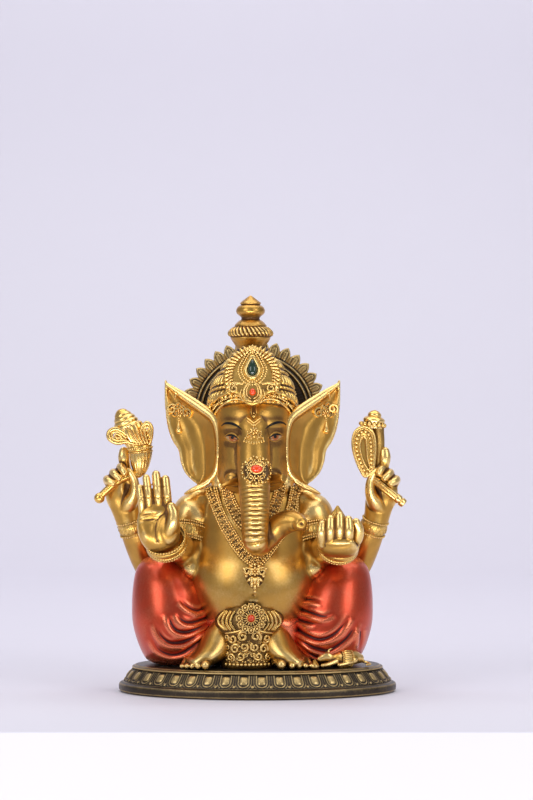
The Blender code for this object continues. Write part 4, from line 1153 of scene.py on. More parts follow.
@cache
def ears_casting():
    """Both ears as one casting, with their hollows kept light."""
    ears = cast(ear_parts(RIGHT) + ear_parts(LEFT), 0.5, 14, gain=0.8, base=0.62)
    ears.rub_and_shade = np.clip(ears.rub_and_shade, 0.4, 1)
    return ears


def eye_patch(x, z, target):
    """A painted eye: an almond whose half height is 1.75 (1 - u^2) mm, laid on the eyeball. Its rub
    says which paint it takes: 0 the white, about 0.4 the iris, and above 0.7 black."""
    u = np.linspace(-1, 1, 41)[None]
    v = np.linspace(-1, 1, 27)[:, None]
    out = np.sign(x)
    across = 3.3 * u + 0 * v
    up = 1.75 * (1 - u ** 2) ** 0.8 * v + 0.55 * u * out
    at, normal = laid_on(target, np.stack([x + across, z + up], -1))
    iris = np.hypot(across + 0.2 * out, (up - 0.15) * 1.1)
    ink = np.where(iris < 0.8, 0.9, np.where(iris < 1.75, 0.42, 0.0))
    ink = np.maximum(ink, held((v - 0.25) / 0.3))
    ink = np.maximum(ink, 0.75 * held((np.abs(u) - 0.88) / 0.1))
    ink = np.maximum(ink, 0.45 * held((-v - 0.75) / 0.2))
    front = skin(np.concatenate([at + normal * 0.12, (at - normal * 0.4)[:, ::-1]], axis=1))
    front.rub_and_shade[:ink.size * 2] = np.concatenate([ink, ink[:, ::-1]], axis=1).ravel()
    return front


def lids(x, z, target):
    """Lower and upper eyelids: thin rolls laid round the almond."""
    out = np.sign(x)
    u = np.linspace(-1.12, 1.12, 9)
    made = []
    for way, reach, radius in ((1, 2.3, 0.5), (-1, 2.2, 0.42)):
        spots = np.stack([x + 3.4 * u, z + way * reach * held(1 - u ** 2 * 0.8) + 0.55 * u * out],
            1)
        path, _ = on_front(target, spots, 4, radius * 0.1)
        radii = radius * np.sin(np.linspace(0.15, np.pi - 0.15, len(path))) ** 0.6
        made.append(wire(path, radii))
    return made


def brow_stroke(x, z, target):
    """A painted brow: a flat tapering stroke over the eye."""
    out = np.sign(x)
    spots = [(x - 5.2 * out, z + 4.3), (x - 2.6 * out, z + 6.2), (x + 0.6 * out, z + 7.4),
        (x + 3.6 * out, z + 7.3), (x + 5.6 * out, z + 6.0)]
    path, normal = on_front(target, spots, 8)
    width = 0.62 * np.sin(np.linspace(0.1, np.pi - 0.25, len(path))) ** 0.8 + 0.08
    return limb(np.hstack([path + normal * 0.02, width[:, None], width[:, None] * 0.4]), 10, 1,
        up=(0, -1, 0))


@finish_named("eye_paint")
def eye_finish(recipe):
    """Hand-painted eyes: off-white, brown iris and black outlines, chosen by rub."""
    ink = recipe.attribute("rub_and_shade")
    cloud = recipe.noise(0.5, 2.0)
    iris = recipe.blend(cloud, (0.22, 0.05, 0.012), (0.42, 0.13, 0.03))
    white = recipe.blend(ink.step(0.12, 0.34), (0.42, 0.27, 0.13), iris)
    recipe.set(Base_Color=recipe.blend(ink.step(0.52, 0.72), white, (0.003, 0.0025, 0.002)),
        Roughness=cloud * 0.1 + 0.42, Coat_Weight=0.08, IOR=1.3)
    return recipe


EYE_PAINT = (eye_finish, "antique_gold")


class IDOL_OT_head(bpy.types.Operator):
    """Casts the head with its trunk and tusks, and paints its eyes and brows"""
    bl_idname = "idol.head"
    bl_label = "Head"

    def execute(self, context):
        head = head_casting()
        piece("head_casting", head, GOLD, "head", "trunk", "right_tusk", "left_tusk_stub")
        piece("eyelids", joined(*[lid for eye in EYES for lid in lids(*eye, head)]), GOLD)
        paint = [eye_patch(*eye, head) for eye in EYES]
        for eye in EYES:
            stroke = brow_stroke(*eye, head)
            stroke.rub_and_shade[:] = 1.0
            paint.append(stroke)
        piece("painted_eyes", joined(*paint), EYE_PAINT)
        return {"FINISHED"}


class IDOL_OT_ears(bpy.types.Operator):
    """Casts both ears and sets their scrolled jewels"""
    bl_idname = "idol.ears"
    bl_label = "Ears"

    def execute(self, context):
        ears = ears_casting()
        piece("ear_castings", ears, GOLD, "right_ear", "left_ear")
        for side, name in SIDES:
            piece(f"{name}_ear_cluster", ear_cluster(side, ears), RELIEF, f"{name}_ear_jewel")
        return {"FINISHED"}


def ear_cluster(side, ears):
    """Scrolls round a flower, a small chain with a tear-shaped drop, and a hook on the rim."""
    centre = np.array([38.0 * side, 144.6])
    spots = centre + np.array([(4.2 * side, 1.6), (-4.0 * side, 0.0), (0.8 * side, 3.6),
            (2.2 * side, -0.6), (-1.8 * side, 2.0)])
    scrolls = set_on(ears, scroll(1.3, 0.27), spots, np.array([2.7, 2.7, 2.2, 1.8, 1.6])[:, None]
        * (1, 1, 1.3), np.array([40, -60, 180, 90, 10]) * side)
    heart = set_on(ears, flower(7), [centre + (0.2 * side, -0.4)], 2.1)
    edging = np.array([(side * r * math.cos(a), r * math.sin(a))
            for r, a in ((5.6, -0.3), (6.4, 0.35), (5.4, 0.9), (5.0, 1.4), (5.2, 1.9), (5.6, 2.6),
            (5.4, 3.3), (3.4, 3.9), (2.8, 4.6), (3.2, 5.4))]) * (1.0, 0.75) + centre
    dots = set_on(ears, bead(6), edging, 0.62)
    chain = set_on(ears, bead(6), [centre + (0.2 * side, -3.2), centre + (0.2 * side, -4.4)], 0.5)
    at, _ = laid_on(ears, [centre + (0.2 * side, dz) for dz in (-5.2, -7.4, -9.4)], 0.4)
    drop = limb(np.hstack([at, np.array([0.45, 1.0, 1.7])[:, None].repeat(2, 1)]), 14, 5)
    hook = limb([(41.0 * side, -1.4, 156.4, 0.55, 0.55), (39.6 * side, -3.4, 154.6, 0.6, 0.6),
            (40.2 * side, -1.6, 151.4, 0.5, 0.5)], 8, 6)
    for made in (drop, hook):
        made.rub_and_shade[:] = 0.8
    return joined(scrolls, heart, dots, chain, drop, hook)


# ------------------------------------------------------------------ garment

FOLDS = {RIGHT: ((0.8, 1.0, ((22.0, 44.5), (25.5, 43.8), (28.4, 43.2), (33.0, 45.4), (37.5, 49.5))),
        (1.0, 1.0, ((19.3, 41.3), (24.8, 38.8), (31.2, 37.4), (35.7, 38.8), (38.6, 43.0))),
        (1.3, 1.1, ((18.6, 39.4), (26.6, 35.2), (33.0, 32.7), (38.4, 33.6), (41.4, 37.4),
        (42.6, 42.6))), (1.3, 1.1, ((17.8, 37.0), (24.8, 33.1), (31.2, 29.6), (36.6, 27.4),
        (42.4, 27.6), (46.8, 31.3), (49.6, 38.0))), (1.2, 1.1, ((17.4, 35.4), (24.0, 30.6),
        (29.6, 26.4), (35.0, 22.2), (41.4, 20.8), (48.0, 23.6), (51.6, 30.0))),
        (0.35, 2.4, ((41.0, 63.0), (38.4, 57.0), (36.0, 51.0), (33.0, 46.6)))),
    LEFT: ((0.8, 0.9, ((18.5, 46.5), (25.0, 48.3), (31.0, 48.6), (36.5, 47.2))),
        (1.1, 1.0, ((16.0, 43.2), (23.0, 43.6), (30.0, 42.2), (36.5, 40.6), (42.0, 42.6))),
        (0.9, 0.9, ((15.0, 40.6), (22.0, 38.6), (28.0, 37.2), (33.0, 36.6))),
        (1.4, 1.1, ((14.2, 38.5), (21.0, 34.5), (28.0, 30.6), (35.3, 29.0), (43.0, 32.6),
        (50.0, 41.0))), (1.3, 1.1, ((13.7, 36.5), (20.0, 32.0), (27.0, 27.2), (33.0, 24.2),
        (39.0, 23.4), (46.0, 27.4), (51.0, 33.0), (53.6, 38.6))),
        (1.0, 1.0, ((13.2, 35.2), (19.0, 30.6), (25.0, 25.6), (30.0, 21.4), (36.0, 19.0),
        (43.0, 19.6), (49.0, 23.4))), (0.9, 1.2, ((55.4, 33.0), (55.6, 28.0), (54.6, 22.0))))}


HEMS = {RIGHT: ((31.0, 62.0), (26.8, 54.0), (22.6, 47.0), (19.4, 42.0), (17.6, 37.6)),
    LEFT: ((31.0, 61.5), (26.4, 55.0), (22.6, 50.2), (19.2, 45.0), (16.6, 40.4))}


def leg_skin(side):
    """The cloth over one folded leg: level ovals, displaced by folds. Each fold is a line drawn in
    the front view: with d the distance across it, a narrow groove falls along the line and rounded
    ridges rise beside it, as bells of d, and both fade towards the ends of the line."""
    rows = spaced(spline([(14.4, 37.0, 0.0, 13.0, 16.5), (15.4, 37.0, 0.0, 16.0, 19.5),
            (18.0, 37.5, -1.5, 18.5, 22.0), (26.0, 39.0, -4.0, 20.5, 24.0),
            (36.0, 41.0, -5.5, 21.0, 24.0), (47.0, 42.5, -6.0, 19.8, 22.0),
            (57.0, 44.5, -5.5, 17.0, 18.5), (64.0, 47.0, -4.5, 12.8, 13.8),
            (68.6, 48.0, -4.0, 8.0, 8.4), (70.6, 48.0, -4.0, 3.4, 3.6)], 14), 150)
    angle = circle(300)[None]
    z, cx, cy, rx, ry = (rows[:, k, None] for k in range(5))
    x = (cx + rx * np.cos(angle)) * side
    y = cy + ry * np.sin(angle)
    front = held(-np.sin(angle) * 1.5 + 0.25)
    spot = np.stack([x * side, z + 0 * angle], -1)
    folds = np.zeros(x.shape)
    for depth, wide, line in FOLDS[side]:
        path = spaced(spline(np.array(line, float), 8), 60)
        flow = unit(np.gradient(path, axis=0))
        apart = spot[:, :, None] - path
        nearest = np.argmin((apart ** 2).sum(-1), axis=-1)
        gap = np.take_along_axis(apart, nearest[..., None, None], 2)[:, :, 0]
        along_path = flow[nearest]
        below = gap[..., 1] * along_path[..., 0] - gap[..., 0] * along_path[..., 1]
        far = np.linalg.norm(gap, axis=-1)
        part = nearest / 59.0
        fade = held(part / 0.10 + 0.35) * np.sin(np.pi / 2 * held((1 - part) / 0.45))
        inside = bell(np.clip(far - np.abs(below), 0, 9))
        groove = bell(below / (0.75 * wide))
        ridge = bell((below + 2.1 * wide) / (1.5 * wide))
        upper = bell((below - 1.9 * wide) / (1.2 * wide))
        folds += depth * (1.25 * ridge + 0.3 * upper - 0.7 * groove) * fade * inside
    side_fold = (np.abs(np.sin((angle * side if side > 0 else np.pi - angle) * 4.0 + z * 0.05))
        - 0.5) * 0.55
    back = held(np.sin(angle)) * held((60 - z) / 20)
    seam = held((z - 15.0) / 3.0) * held((69.0 - z) / 6.0)
    move = (folds * front + side_fold * back) * seam
    out = unit(np.stack([np.cos(angle) * ry * side, np.sin(angle) * rx, 0 * z + 0 * angle], -1))
    rings = np.stack([x, y, z + 0 * angle], -1) + out * move[..., None]
    return skin(rings)


def seat_skin():
    """The cloth over the lap, gathered in upright pleats behind."""
    rows = spaced(spline([(14.4, 0, 5, 28, 21), (15.6, 0, 5, 31, 24), (19.0, 0, 4.5, 34, 27),
            (26.0, 0, 4, 36, 30), (34.0, 0, 3.5, 36.5, 31), (37.6, 0, 3.5, 36.0, 30.6),
            (39.2, 0, 3.5, 34.4, 29)], 10), 64)
    angle = circle(260)[None]
    z, cx, cy, rx, ry = (rows[:, k, None] for k in range(5))
    pleat = (np.abs(np.sin(angle * 9 + 0.04 * z)) ** 0.7 - 0.6) * 1.1
    pleat *= held((z - 15) / 4) * held((40 - z) / 4)
    return skin(np.stack([cx + (rx + pleat) * np.cos(angle), cy + (ry + pleat) * np.sin(angle),
            z + 0 * angle], -1))


def worn(surface, **wearing):
    """The surface with its rub worked out from its own form."""
    made, normals = modified(surface)
    return wear(made, normals, **wearing)


class IDOL_OT_garment(bpy.types.Operator):
    """Drapes the red lower garment over the lap and the folded legs"""
    bl_idname = "idol.garment"
    bl_label = "Garment"

    def execute(self, context):
        for side, name in SIDES:
            leg = leg_skin(side)
            path, _ = on_front(leg, [(side * x, z) for x, z in HEMS[side]], 8, 0.1)
            hem = wire(path, 0.62, rub_and_shade=1.0)
            piece(f"{name}_leg_drape", joined(worn(leg, near=3, far=22, gain=1.1, base=0.6), hem),
                RED, f"dhoti_{name}_leg", sharp=80)
        piece("lap_drape", worn(seat_skin(), near=3, far=16, gain=1.4, base=0.5), RED, "dhoti_seat",
            sharp=80)
        return {"FINISHED"}


# ------------------------------------------------------------------ crown

class Face:
    """A flat working face, leaned back by an angle in degrees, on which ornaments are laid out by
    x and z about its centre."""

    def __init__(self, centre, lean):
        a = math.radians(lean)
        self.centre = np.array(centre, float)
        self.out = np.array((0, -math.cos(a), -math.sin(a)))
        self.up = np.array((0, -math.sin(a), math.cos(a)))

    def at(self, spots, rise=0.0):
        """Points for spots on the face, raised off it."""
        spots = np.asarray(spots, float)
        rise = np.broadcast_to(rise, len(spots))[:, None]
        return self.centre + spots[:, :1] * (1, 0, 0) + spots[:, 1:2] * self.up + rise * self.out

    def set(self, form, spots, size, spin=0.0, rise=0.0):
        """Copies of a form, each turned by spin in degrees from upright."""
        at = self.at(spots, rise)
        turn = np.radians(np.broadcast_to(spin, len(at)))[:, None]
        return copies(form, at, self.out, self.up * np.cos(turn)
            + np.array((1.0, 0, 0)) * np.sin(turn), size)

    def line(self, spots, radius, rise=0.0, steps=6, closed=False, rub_and_shade=0.8):
        """A cord along a smooth line on the face."""
        path = self.at(spline(spots, steps, closed), rise)
        if closed:
            return cord(path, radius, 8, self.out, True, rub_and_shade)
        ends = np.sin(np.linspace(0.25, np.pi - 0.25, len(path))) ** 0.35
        return wire(path, radius * ends, 8, rub_and_shade, self.out)

    def beads(self, spots, radius, rise=0.0, steps=8, closed=False):
        """A row of beads along a smooth line on the face."""
        path = self.at(spline(spots, steps, closed), rise)
        return beads_along(path, radius, self.out, 1.95, closed)


def face_on(target, x, z, rise):
    """A working face in front of a spot of a surface, leaned as the surface leans there."""
    at, out = laid_on(target, [(x, z)])
    return Face(at[0] + out[0] * rise, math.degrees(math.asin(-out[0, 2])))


def tear(half_width, half_height, point=0.42):
    """A tear outline: an oval whose upper half narrows and draws out to a point."""
    a = circle(28, -math.pi / 2)
    high = held(np.sin(a))
    return np.stack([half_width * np.cos(a) * (1 - point * high),
            half_height * np.sin(a) * (1 + 0.3 * high)], 1)


def gem(face, centre, outline, rise, lift=0.0):
    """A cabochon over an outline: rings that shrink towards the middle as they rise."""
    levels = ((-0.6, 1.0), (0.0, 1.0), (0.35, 0.94), (0.66, 0.78), (0.86, 0.55), (0.97, 0.28),
        (1.0, 0.06))
    rings = np.stack([face.at(outline * share + centre, lift + rise * up) for up, share in levels])
    return skin(rings)


def dome_skin():
    """The crown's dome. With t the share of the way from the hairline to the top, tiers of ribs and
    rows of beads are raised as bands of t times waves round the head."""
    rows = spaced(spline([(141.0, 1.5, 19.4, 17.6), (143.0, 1.5, 21.0, 19.0),
            (148.0, 1.0, 22.4, 20.2), (156.0, 0.5, 21.2, 20.4), (163.0, 0.0, 18.2, 19.0),
            (170.0, 0.0, 13.8, 15.5), (175.0, 0.0, 9.8, 11.0), (178.0, 0.0, 7.8, 8.0)], 14), 96)
    count = 48
    angle = circle(count * 8)[None]
    z, cy, rx, ry = (rows[:, k, None] for k in range(4))
    facing = held(-np.sin(angle))
    hair = 142.5 + 6.5 * facing ** 0.6
    t = (z - hair) / (178.5 - hair)
    wave = np.abs(np.cos(angle * count / 2)) ** 0.9
    height = np.zeros(np.broadcast(t, angle).shape)
    for low, high in ((0.10, 0.27), (0.37, 0.55), (0.66, 0.84)):
        middle = (low + high) / 2
        band = held(1 - ((t - middle) / (high - middle)) ** 4)
        height = np.maximum(height, band * wave)
    for level in (0.045, 0.32, 0.60, 0.89):
        height = np.maximum(height, bell((t - level) / 0.020) * (0.35 + 0.65 * wave))
    raised = 1.45 * height
    rings = np.stack([(rx + raised) * np.cos(angle), cy + (ry + raised) * np.sin(angle),
            z + 0 * angle], -1)
    return skin(rings, held(0.02 + 0.98 * height))


HAIRLINE = [(-20.4, 140.4), (-18.9, 143.8), (-15.6, 148.2), (-11.0, 150.8), (-6.6, 151.4),
    (-2.6, 149.8), (0.6, 148.4), (3.8, 149.8), (7.8, 151.4), (12.2, 150.8), (16.8, 147.8),
    (19.6, 143.6), (20.8, 140.0)]
HEAD_BACK = [(22.2, 2.0, 140.6), (19.8, 13.0, 141.6), (9.5, 20.2, 142.0), (0.0, 21.6, 142.0),
    (-9.5, 20.2, 142.0), (-19.8, 13.0, 141.6), (-22.2, 2.0, 140.6)]


def hair_loop(target, swell, lift):
    """A loop round the crown's lower edge: laid on the brow in front, carried round behind. Swell
    scales it up about the middle of the face."""
    spots = (np.array(HAIRLINE) - (0.4, 134.0)) * swell + (0.4, 134.0)
    front, _ = on_front(target, spots, 6, lift)
    back = spline(np.array(HEAD_BACK) + (0, 0, (swell - 1) * 14), 6)
    loop = np.vstack([front[2:-2], back[2:-2]])
    return spaced(spline(spaced(loop, 60, True), 3, True), 260, True)


def brow_band(head, dome):
    """The roll along the hairline, a row of beads above it and a twisted cord above that."""
    both = joined(head, dome)
    smooth = cord(hair_loop(both, 1.0, 0.35), 0.62, 10, (0, 0, 1), True, 0.85)
    row = beads_along(hair_loop(both, 1.10, 0.3), 0.66, (0, -1, 0.2), 1.9, True)
    loop = hair_loop(both, 1.205, 0.5)
    return joined(smooth, row, rope(loop, 1.0, 2, 2.4, (0, 0, 1), True))


def finial_skin():
    """The finial, turned about z: r follows a profile, and on the wide ring slanting strands are
    raised as cos of the angle plus a share of the height."""
    profile = spaced(spline([(173.5, 7.2), (176.0, 7.2), (178.4, 7.5), (180.0, 8.4), (181.8, 9.7),
            (183.2, 10.4), (183.7, 10.3), (184.2, 11.0), (185.3, 11.6), (186.6, 11.3),
            (187.9, 10.2), (188.9, 8.9), (189.3, 8.2), (189.8, 8.3), (191.0, 7.3), (192.2, 6.0),
            (192.7, 5.0), (193.6, 4.7), (194.5, 5.4), (195.7, 6.9), (197.2, 7.5), (198.9, 7.0),
            (200.0, 5.8), (200.3, 5.0), (200.6, 5.1), (201.1, 5.4), (201.7, 5.2), (203.5, 2.9),
            (205.3, 0.4)], 10), 230)
    angle = circle(180)[None]
    z, r = profile[:, :1], profile[:, 1:]
    ring = held((z - 183.8) / 0.5) * held((189.2 - z) / 0.5)
    strand = np.abs(np.cos(angle * 15 + (z - 187.6) * 0.8))
    reach = r + ring * (strand - 0.7) * 1.2
    return skin(np.stack([reach * np.cos(angle) - 1.0, reach * np.sin(angle), z + 0 * angle], -1))


PLATE = Face((0.1, -22.6, 164.0), -18)
BEZEL = (0.0, 2.4)  # middle of the plate's main stone
LEAF = [(0.0, 16.0), (4.5, 13.8), (9.0, 10.2), (12.8, 5.6), (14.8, -0.5), (14.4, -5.6),
    (12.6, -9.4), (8.4, -10.4), (6.0, -12.2), (4.4, -14.6), (2.4, -16.2), (0.4, -16.8)]


def plate_skin():
    """The leaf-shaped plate: rays from its middle to the leaf outline, swelling to the front."""
    half = spline(np.array(LEAF, float), 8)
    outline = spaced(np.vstack([half, (half * (-1, 1))[-2:0:-1]]), 144, True)
    share = np.array([0.04, 0.3, 0.5, 0.7, 0.85, 0.95, 1.0, 0.98, 0.72])
    rise = np.array([2.6, 2.5, 2.2, 1.8, 1.4, 1.1, 0.6, -1.2, -8.0])
    rings = np.stack([PLATE.at(outline * k, h) for k, h in zip(share, rise)])
    return skin(rings, np.array([0.3, 0.3, 0.26, 0.2, 0.14, 0.5, 0.7, 0.4, 0.3])[:, None])


def plate_ornaments():
    """Everything set on the plate: the bezel, its bead rows, the fans of ribs at both sides, the
    leaves on top, the scrolls at the lower corners and the lotus drop."""
    centre = np.array(BEZEL)
    made = [PLATE.line(tear(3.5, 4.9) + centre, 0.95, 2.6, 3, True, 0.9),
        PLATE.line(tear(4.6, 6.0) + centre, 0.35, 2.4, 3, True, 0.5),
        PLATE.beads(tear(5.7, 7.1) + centre, 0.6, 2.3, 3, True),
        PLATE.beads(tear(7.3, 8.6) + centre, 0.62, 2.0, 3, True)]
    arc = spaced(spline(np.array([(-11.8, -6.6), (-12.2, -2.0), (-11.6, 2.6), (-9.6, 7.0),
            (-6.6, 10.4), (-3.4, 12.6)]), 8), 13)
    outer = unit(arc - centre)
    lean = np.degrees(np.arctan2(outer[:, 0], outer[:, 1])) - 12
    tall = np.linspace(2.5, 3.3, 13) * (1 - 0.18 * np.linspace(0, 1, 13) ** 2)
    for flip in (1, -1):
        spots, spin = arc * (flip, 1), lean * flip
        shape = np.stack([np.full(13, 0.80), tall * 1.15, np.full(13, 1.6)], 1)
        made.append(PLATE.set(bead(10), spots, shape, spin, 1.35))
        inner_spots = (spots - centre) * 0.86 + centre
        made.append(PLATE.set(bead(8), inner_spots, (0.5, 0.5, 0.55), 0, 2.1))
        made.append(PLATE.set(scroll(1.5, 0.2), [(9.6 * flip, -8.0)], (2.8, 2.8, 2.8), 40 * flip,
                1.5))
        made.append(PLATE.line([(3.2 * flip, -4.2), (5.2 * flip, -5.6), (8.0 * flip, -5.2),
                (11.6 * flip, -5.6), (13.2 * flip, -8.2)], 0.62, 1.9))
        made.append(PLATE.line([(0.9 * flip, -4.6), (3.6 * flip, -7.2), (4.4 * flip, -10.6),
                (3.2 * flip, -13.6), (0.6 * flip, -15.2)], 0.72, 2.0))
        made.append(PLATE.line([(1.6 * flip, -5.6), (2.9 * flip, -8.8), (2.7 * flip, -12.0),
                (0.8 * flip, -13.6)], 0.5, 2.2))
        made.append(PLATE.line([(5.6 * flip, -8.4), (6.2 * flip, -11.4), (4.6 * flip, -14.2)], 0.5,
                1.4))
    fan = np.radians((-62, -32, 0, 32, 62))
    made.append(PLATE.set(bead(10), np.stack([2.0 * np.sin(fan), 11.6 + 2.4 * np.cos(fan)], 1),
            (0.72, 1.9, 0.9), np.degrees(fan), 1.6))
    made.append(PLATE.set(bead(8), [(0, 11.3)], 0.9, 0, 1.9))
    return joined(*made)


class IDOL_OT_crown(bpy.types.Operator):
    """Builds the crown: dome, brow band, front plate, finial and stones"""
    bl_idname = "idol.crown"
    bl_label = "Crown"

    def execute(self, context):
        dome = dome_skin()
        piece("ribbed_dome", dome, RELIEF, "crown_dome", sharp=80)
        piece("beaded_brow_band", brow_band(head_casting(), dome), RELIEF, "crown_brow_band",
            sharp=80)
        piece("turned_finial", worn(finial_skin(), near=3, far=14, gain=1.8, base=0.36), GOLD,
            "crown_finial", sharp=80)
        piece("leaf_plate", joined(plate_skin(), plate_ornaments()), RELIEF, "crown_front_plate",
            sharp=80)
        piece("green_tear", gem(PLATE, BEZEL, tear(2.7, 4.1), 2.4, 2.4), EMERALD,
            "crown_green_stone")
        piece("red_drop", gem(PLATE, (0.1, -10.2), tear(1.7, 1.7, 0.0), 1.8, 1.9), RUBY,
            "crown_red_stone")
        return {"FINISHED"}


# ------------------------------------------------------------------ face jewels

def brow_marks(head):
    """The mark on the brow: two chevrons under a bead, between two upright strokes."""
    made = []
    for drop, radius in ((0.0, 0.62), (1.5, 0.4)):
        path, _ = on_front(head, [(-2.8, 141.9 - drop), (-1.0, 140.6 - drop), (0.8, 139.3 - drop),
                (2.6, 140.6 - drop), (4.4, 141.9 - drop)], 4, 0.15)
        made.append(wire(path, radius, 8, 0.75))
    for x in (-0.5, 2.1):
        path, _ = on_front(head, [(x, 147.0), (x, 144.6), (x + (0.8 - x) * 0.4, 142.6)], 4, 0.05)
        made.append(wire(path, 0.34, 8, 0.75))
    return joined(*made, set_on(head, bead(12), [(0.8, 142.4)], 0.95),
        set_on(head, bead(8), [(0.8, 144.2)], 0.5))


def brow_cluster(head):
    """A flower between the eyes with scrolls beside it and a fringe of drops below."""
    fringe = np.stack([np.linspace(-4.0, 5.8, 9), 130.2 - 1.0 * np.sin(np.linspace(0, np.pi, 9))],
        1)
    return joined(set_on(head, flower(7), [(1.0, 135.2)], 2.5),
        set_on(head, bead(), [(1.0, 138.2), (1.0, 132.2)], 0.7),
        set_on(head, scroll(1.2, 0.24), [(-1.8, 132.6), (3.8, 132.6)], 1.6, (30, -30)),
        set_on(head, bead(), [(-2.4, 134.8), (4.4, 134.8), (-0.6, 131.4), (2.6, 131.4),
            (-3.4, 131.6), (5.4, 131.6)], 0.6), set_on(head, bead(8), fringe, (0.42, 0.95, 0.5),
            np.linspace(16, -16, 9)))


def trunk_cluster(head):
    """The oval cluster on the trunk: two rings of flowers and beads round the stone's bezel."""
    centre = np.array((2.2, 115.2))
    bezel, _ = laid_on(head, centre + (0, 0.6) + around(26, 3.1, 2.3), 0.55)
    bed, out = laid_on(head, [centre])
    pad = copies(bead(28), bed - out * 0.5, out, (0, 0, 1), (6.6, 6.2, 0.7))
    pad.rub_and_shade[:] = 0.05
    return joined(pad, set_on(head, flower(6), centre + around(10, 4.7, 4.2), 1.95, lift=0.6),
        set_on(head, bead(), centre + around(14, 6.9, 6.5, 0.2), 0.95, lift=0.2),
        set_on(head, bead(6), centre + around(14, 7.6, 7.2, 0.42), 0.55),
        cord(bezel + out * 0.5, 0.5, 8, out[0], True, 0.85))


class IDOL_OT_face_jewels(bpy.types.Operator):
    """Sets the mark and the jewels of the face"""
    bl_idname = "idol.face_jewels"
    bl_label = "Face jewels"

    def execute(self, context):
        head = head_casting()
        piece("brow_chevrons", brow_marks(head), RELIEF, "brow_mark")
        piece("brow_flower", brow_cluster(head), RELIEF, "brow_jewel")
        piece("trunk_flower", trunk_cluster(head), RELIEF, "trunk_jewel")
        face = face_on(head, 2.2, 115.8, 0.7)
        piece("trunk_cabochon", gem(face, (0, 0), around(28, 2.9, 2.1), 1.7, 0.1), RUBY,
            "trunk_stone")
        return {"FINISHED"}


# ------------------------------------------------------------------ necklaces and belt

COLLAR_OUTER = [(-16.0, 107.0), (-14.6, 101.0), (-12.4, 94.0), (-8.6, 87.6), (-4.0, 83.6),
    (0.6, 82.4), (5.2, 83.6), (9.6, 87.6), (13.4, 94.0), (15.6, 101.0), (17.0, 107.0)]
COLLAR_INNER = [(-11.0, 105.6), (-9.6, 101.4), (-7.6, 96.6), (-4.6, 92.8), (-2.0, 91.0),
    (0.6, 90.4), (3.2, 91.0), (5.8, 92.8), (8.8, 96.6), (10.8, 101.4), (12.0, 105.6)]
CHAIN_OUTER = [(-23.4, 104.8), (-21.6, 98.4), (-19.2, 92.4), (-14.6, 82.8), (-9.2, 74.4),
    (-4.6, 69.4), (1.8, 65.6), (7.4, 69.4), (13.6, 77.2), (19.4, 85.2), (22.8, 94.4), (24.4, 105.2)]
CHAIN_INNER = [(-18.0, 106.0), (-16.6, 99.8), (-14.8, 94.2), (-10.6, 86.4), (-6.2, 79.4),
    (-2.8, 75.0), (1.8, 71.4), (5.8, 75.0), (10.4, 81.0), (14.8, 87.6), (17.8, 96.0), (19.4, 106.2)]


def beaded_strip(target, inner, outer, lift, middle):
    """A strip with a row of beads on both edges and a middle row of flowers, and beads between."""
    made = [strip_on(target, inner, outer, lift, 0.35, 0.13)]
    for share, radius in ((0.0, 0.74), (1.0, 0.74)):
        path, out = on_front(target, between_edges(inner, outer, share), 1, lift + 0.45)
        made.append(beads_along(path, radius, out, 1.95))
    path = between_edges(inner, outer, 0.5)
    spots = spaced(path, max(int(run_length(np.pad(path, ((0, 0), (0, 1)))) / middle / 1.9), 3))
    made.append(set_on(target, flower(6), spots, (middle, middle, middle * 1.1), lift=lift + 0.3))
    for share in (0.2, 0.8):
        gap = spaced(between_edges(inner, outer, share), len(spots) * 2 - 1)
        made.append(set_on(target, bead(6), gap, 0.8, lift=lift + 0.35))
    return joined(*made)


def pendant_skin(target):
    """The pendant: a lobed flower plate, a fan of leaves under it and a drop."""
    face = face_on(target, 1.4, 60.4, 0.4)
    leaves = np.radians((-50, -25, 0, 25, 50))
    made = [face.set(flower(8), [(0, 3.4)], (2.6, 2.6, 2.4), 0, 0.8),
        face.set(scroll(1.3, 0.30), [(-3.8, 3.4), (3.8, 3.4)], (2.3, 2.3, 2.6), (60, -60), 0.3),
        face.set(bead(10), [(-2.0, 6.2), (2.0, 6.2), (0, 7.0), (-5.6, 4.8), (5.6, 4.8), (-4.4, 1.0),
            (4.4, 1.0)], 0.95, 0, 0.4), face.set(bead(10), np.stack(
            [3.2 * np.sin(leaves), 1.0 - 2.4 * np.cos(leaves)], 1), (0.95, 2.2, 1.0),
            -np.degrees(leaves), 0.5), face.set(bead(10), [(-1.5, -3.4), (1.5, -3.4), (0, -4.6)],
            (0.9, 1.7, 0.9), (14, -14, 0), 0.4), face.set(bead(8), [(0, -7.0)], (0.8, 1.1, 0.7), 0,
            0.3), face.set(bead(8), [(0, -8.6)], 0.5, 0, 0.3)]
    outline = around(30, 4.9, 5.2)
    outline[:, 1] *= np.where(outline[:, 1] < 0, 1.25, 0.8)
    plate = gem(face, (0, 1.8), outline, 0.7)
    plate.rub_and_shade[:] = 0.08
    return joined(plate, *made)


class IDOL_OT_necklaces(bpy.types.Operator):
    """Lays the collar, the long beaded necklace and its pendant on the chest"""
    bl_idname = "idol.necklaces"
    bl_label = "Necklaces"

    def execute(self, context):
        body = body_casting()
        piece("beaded_collar", beaded_strip(body, COLLAR_INNER, COLLAR_OUTER, 0.2, 1.5), RELIEF,
            "collar", sharp=80)
        piece("beaded_necklace", beaded_strip(body, CHAIN_INNER, CHAIN_OUTER, 0.4, 1.45), RELIEF,
            "long_necklace", sharp=80)
        piece("fan_pendant", pendant_skin(body), RELIEF, "pendant", sharp=80)
        return {"FINISHED"}


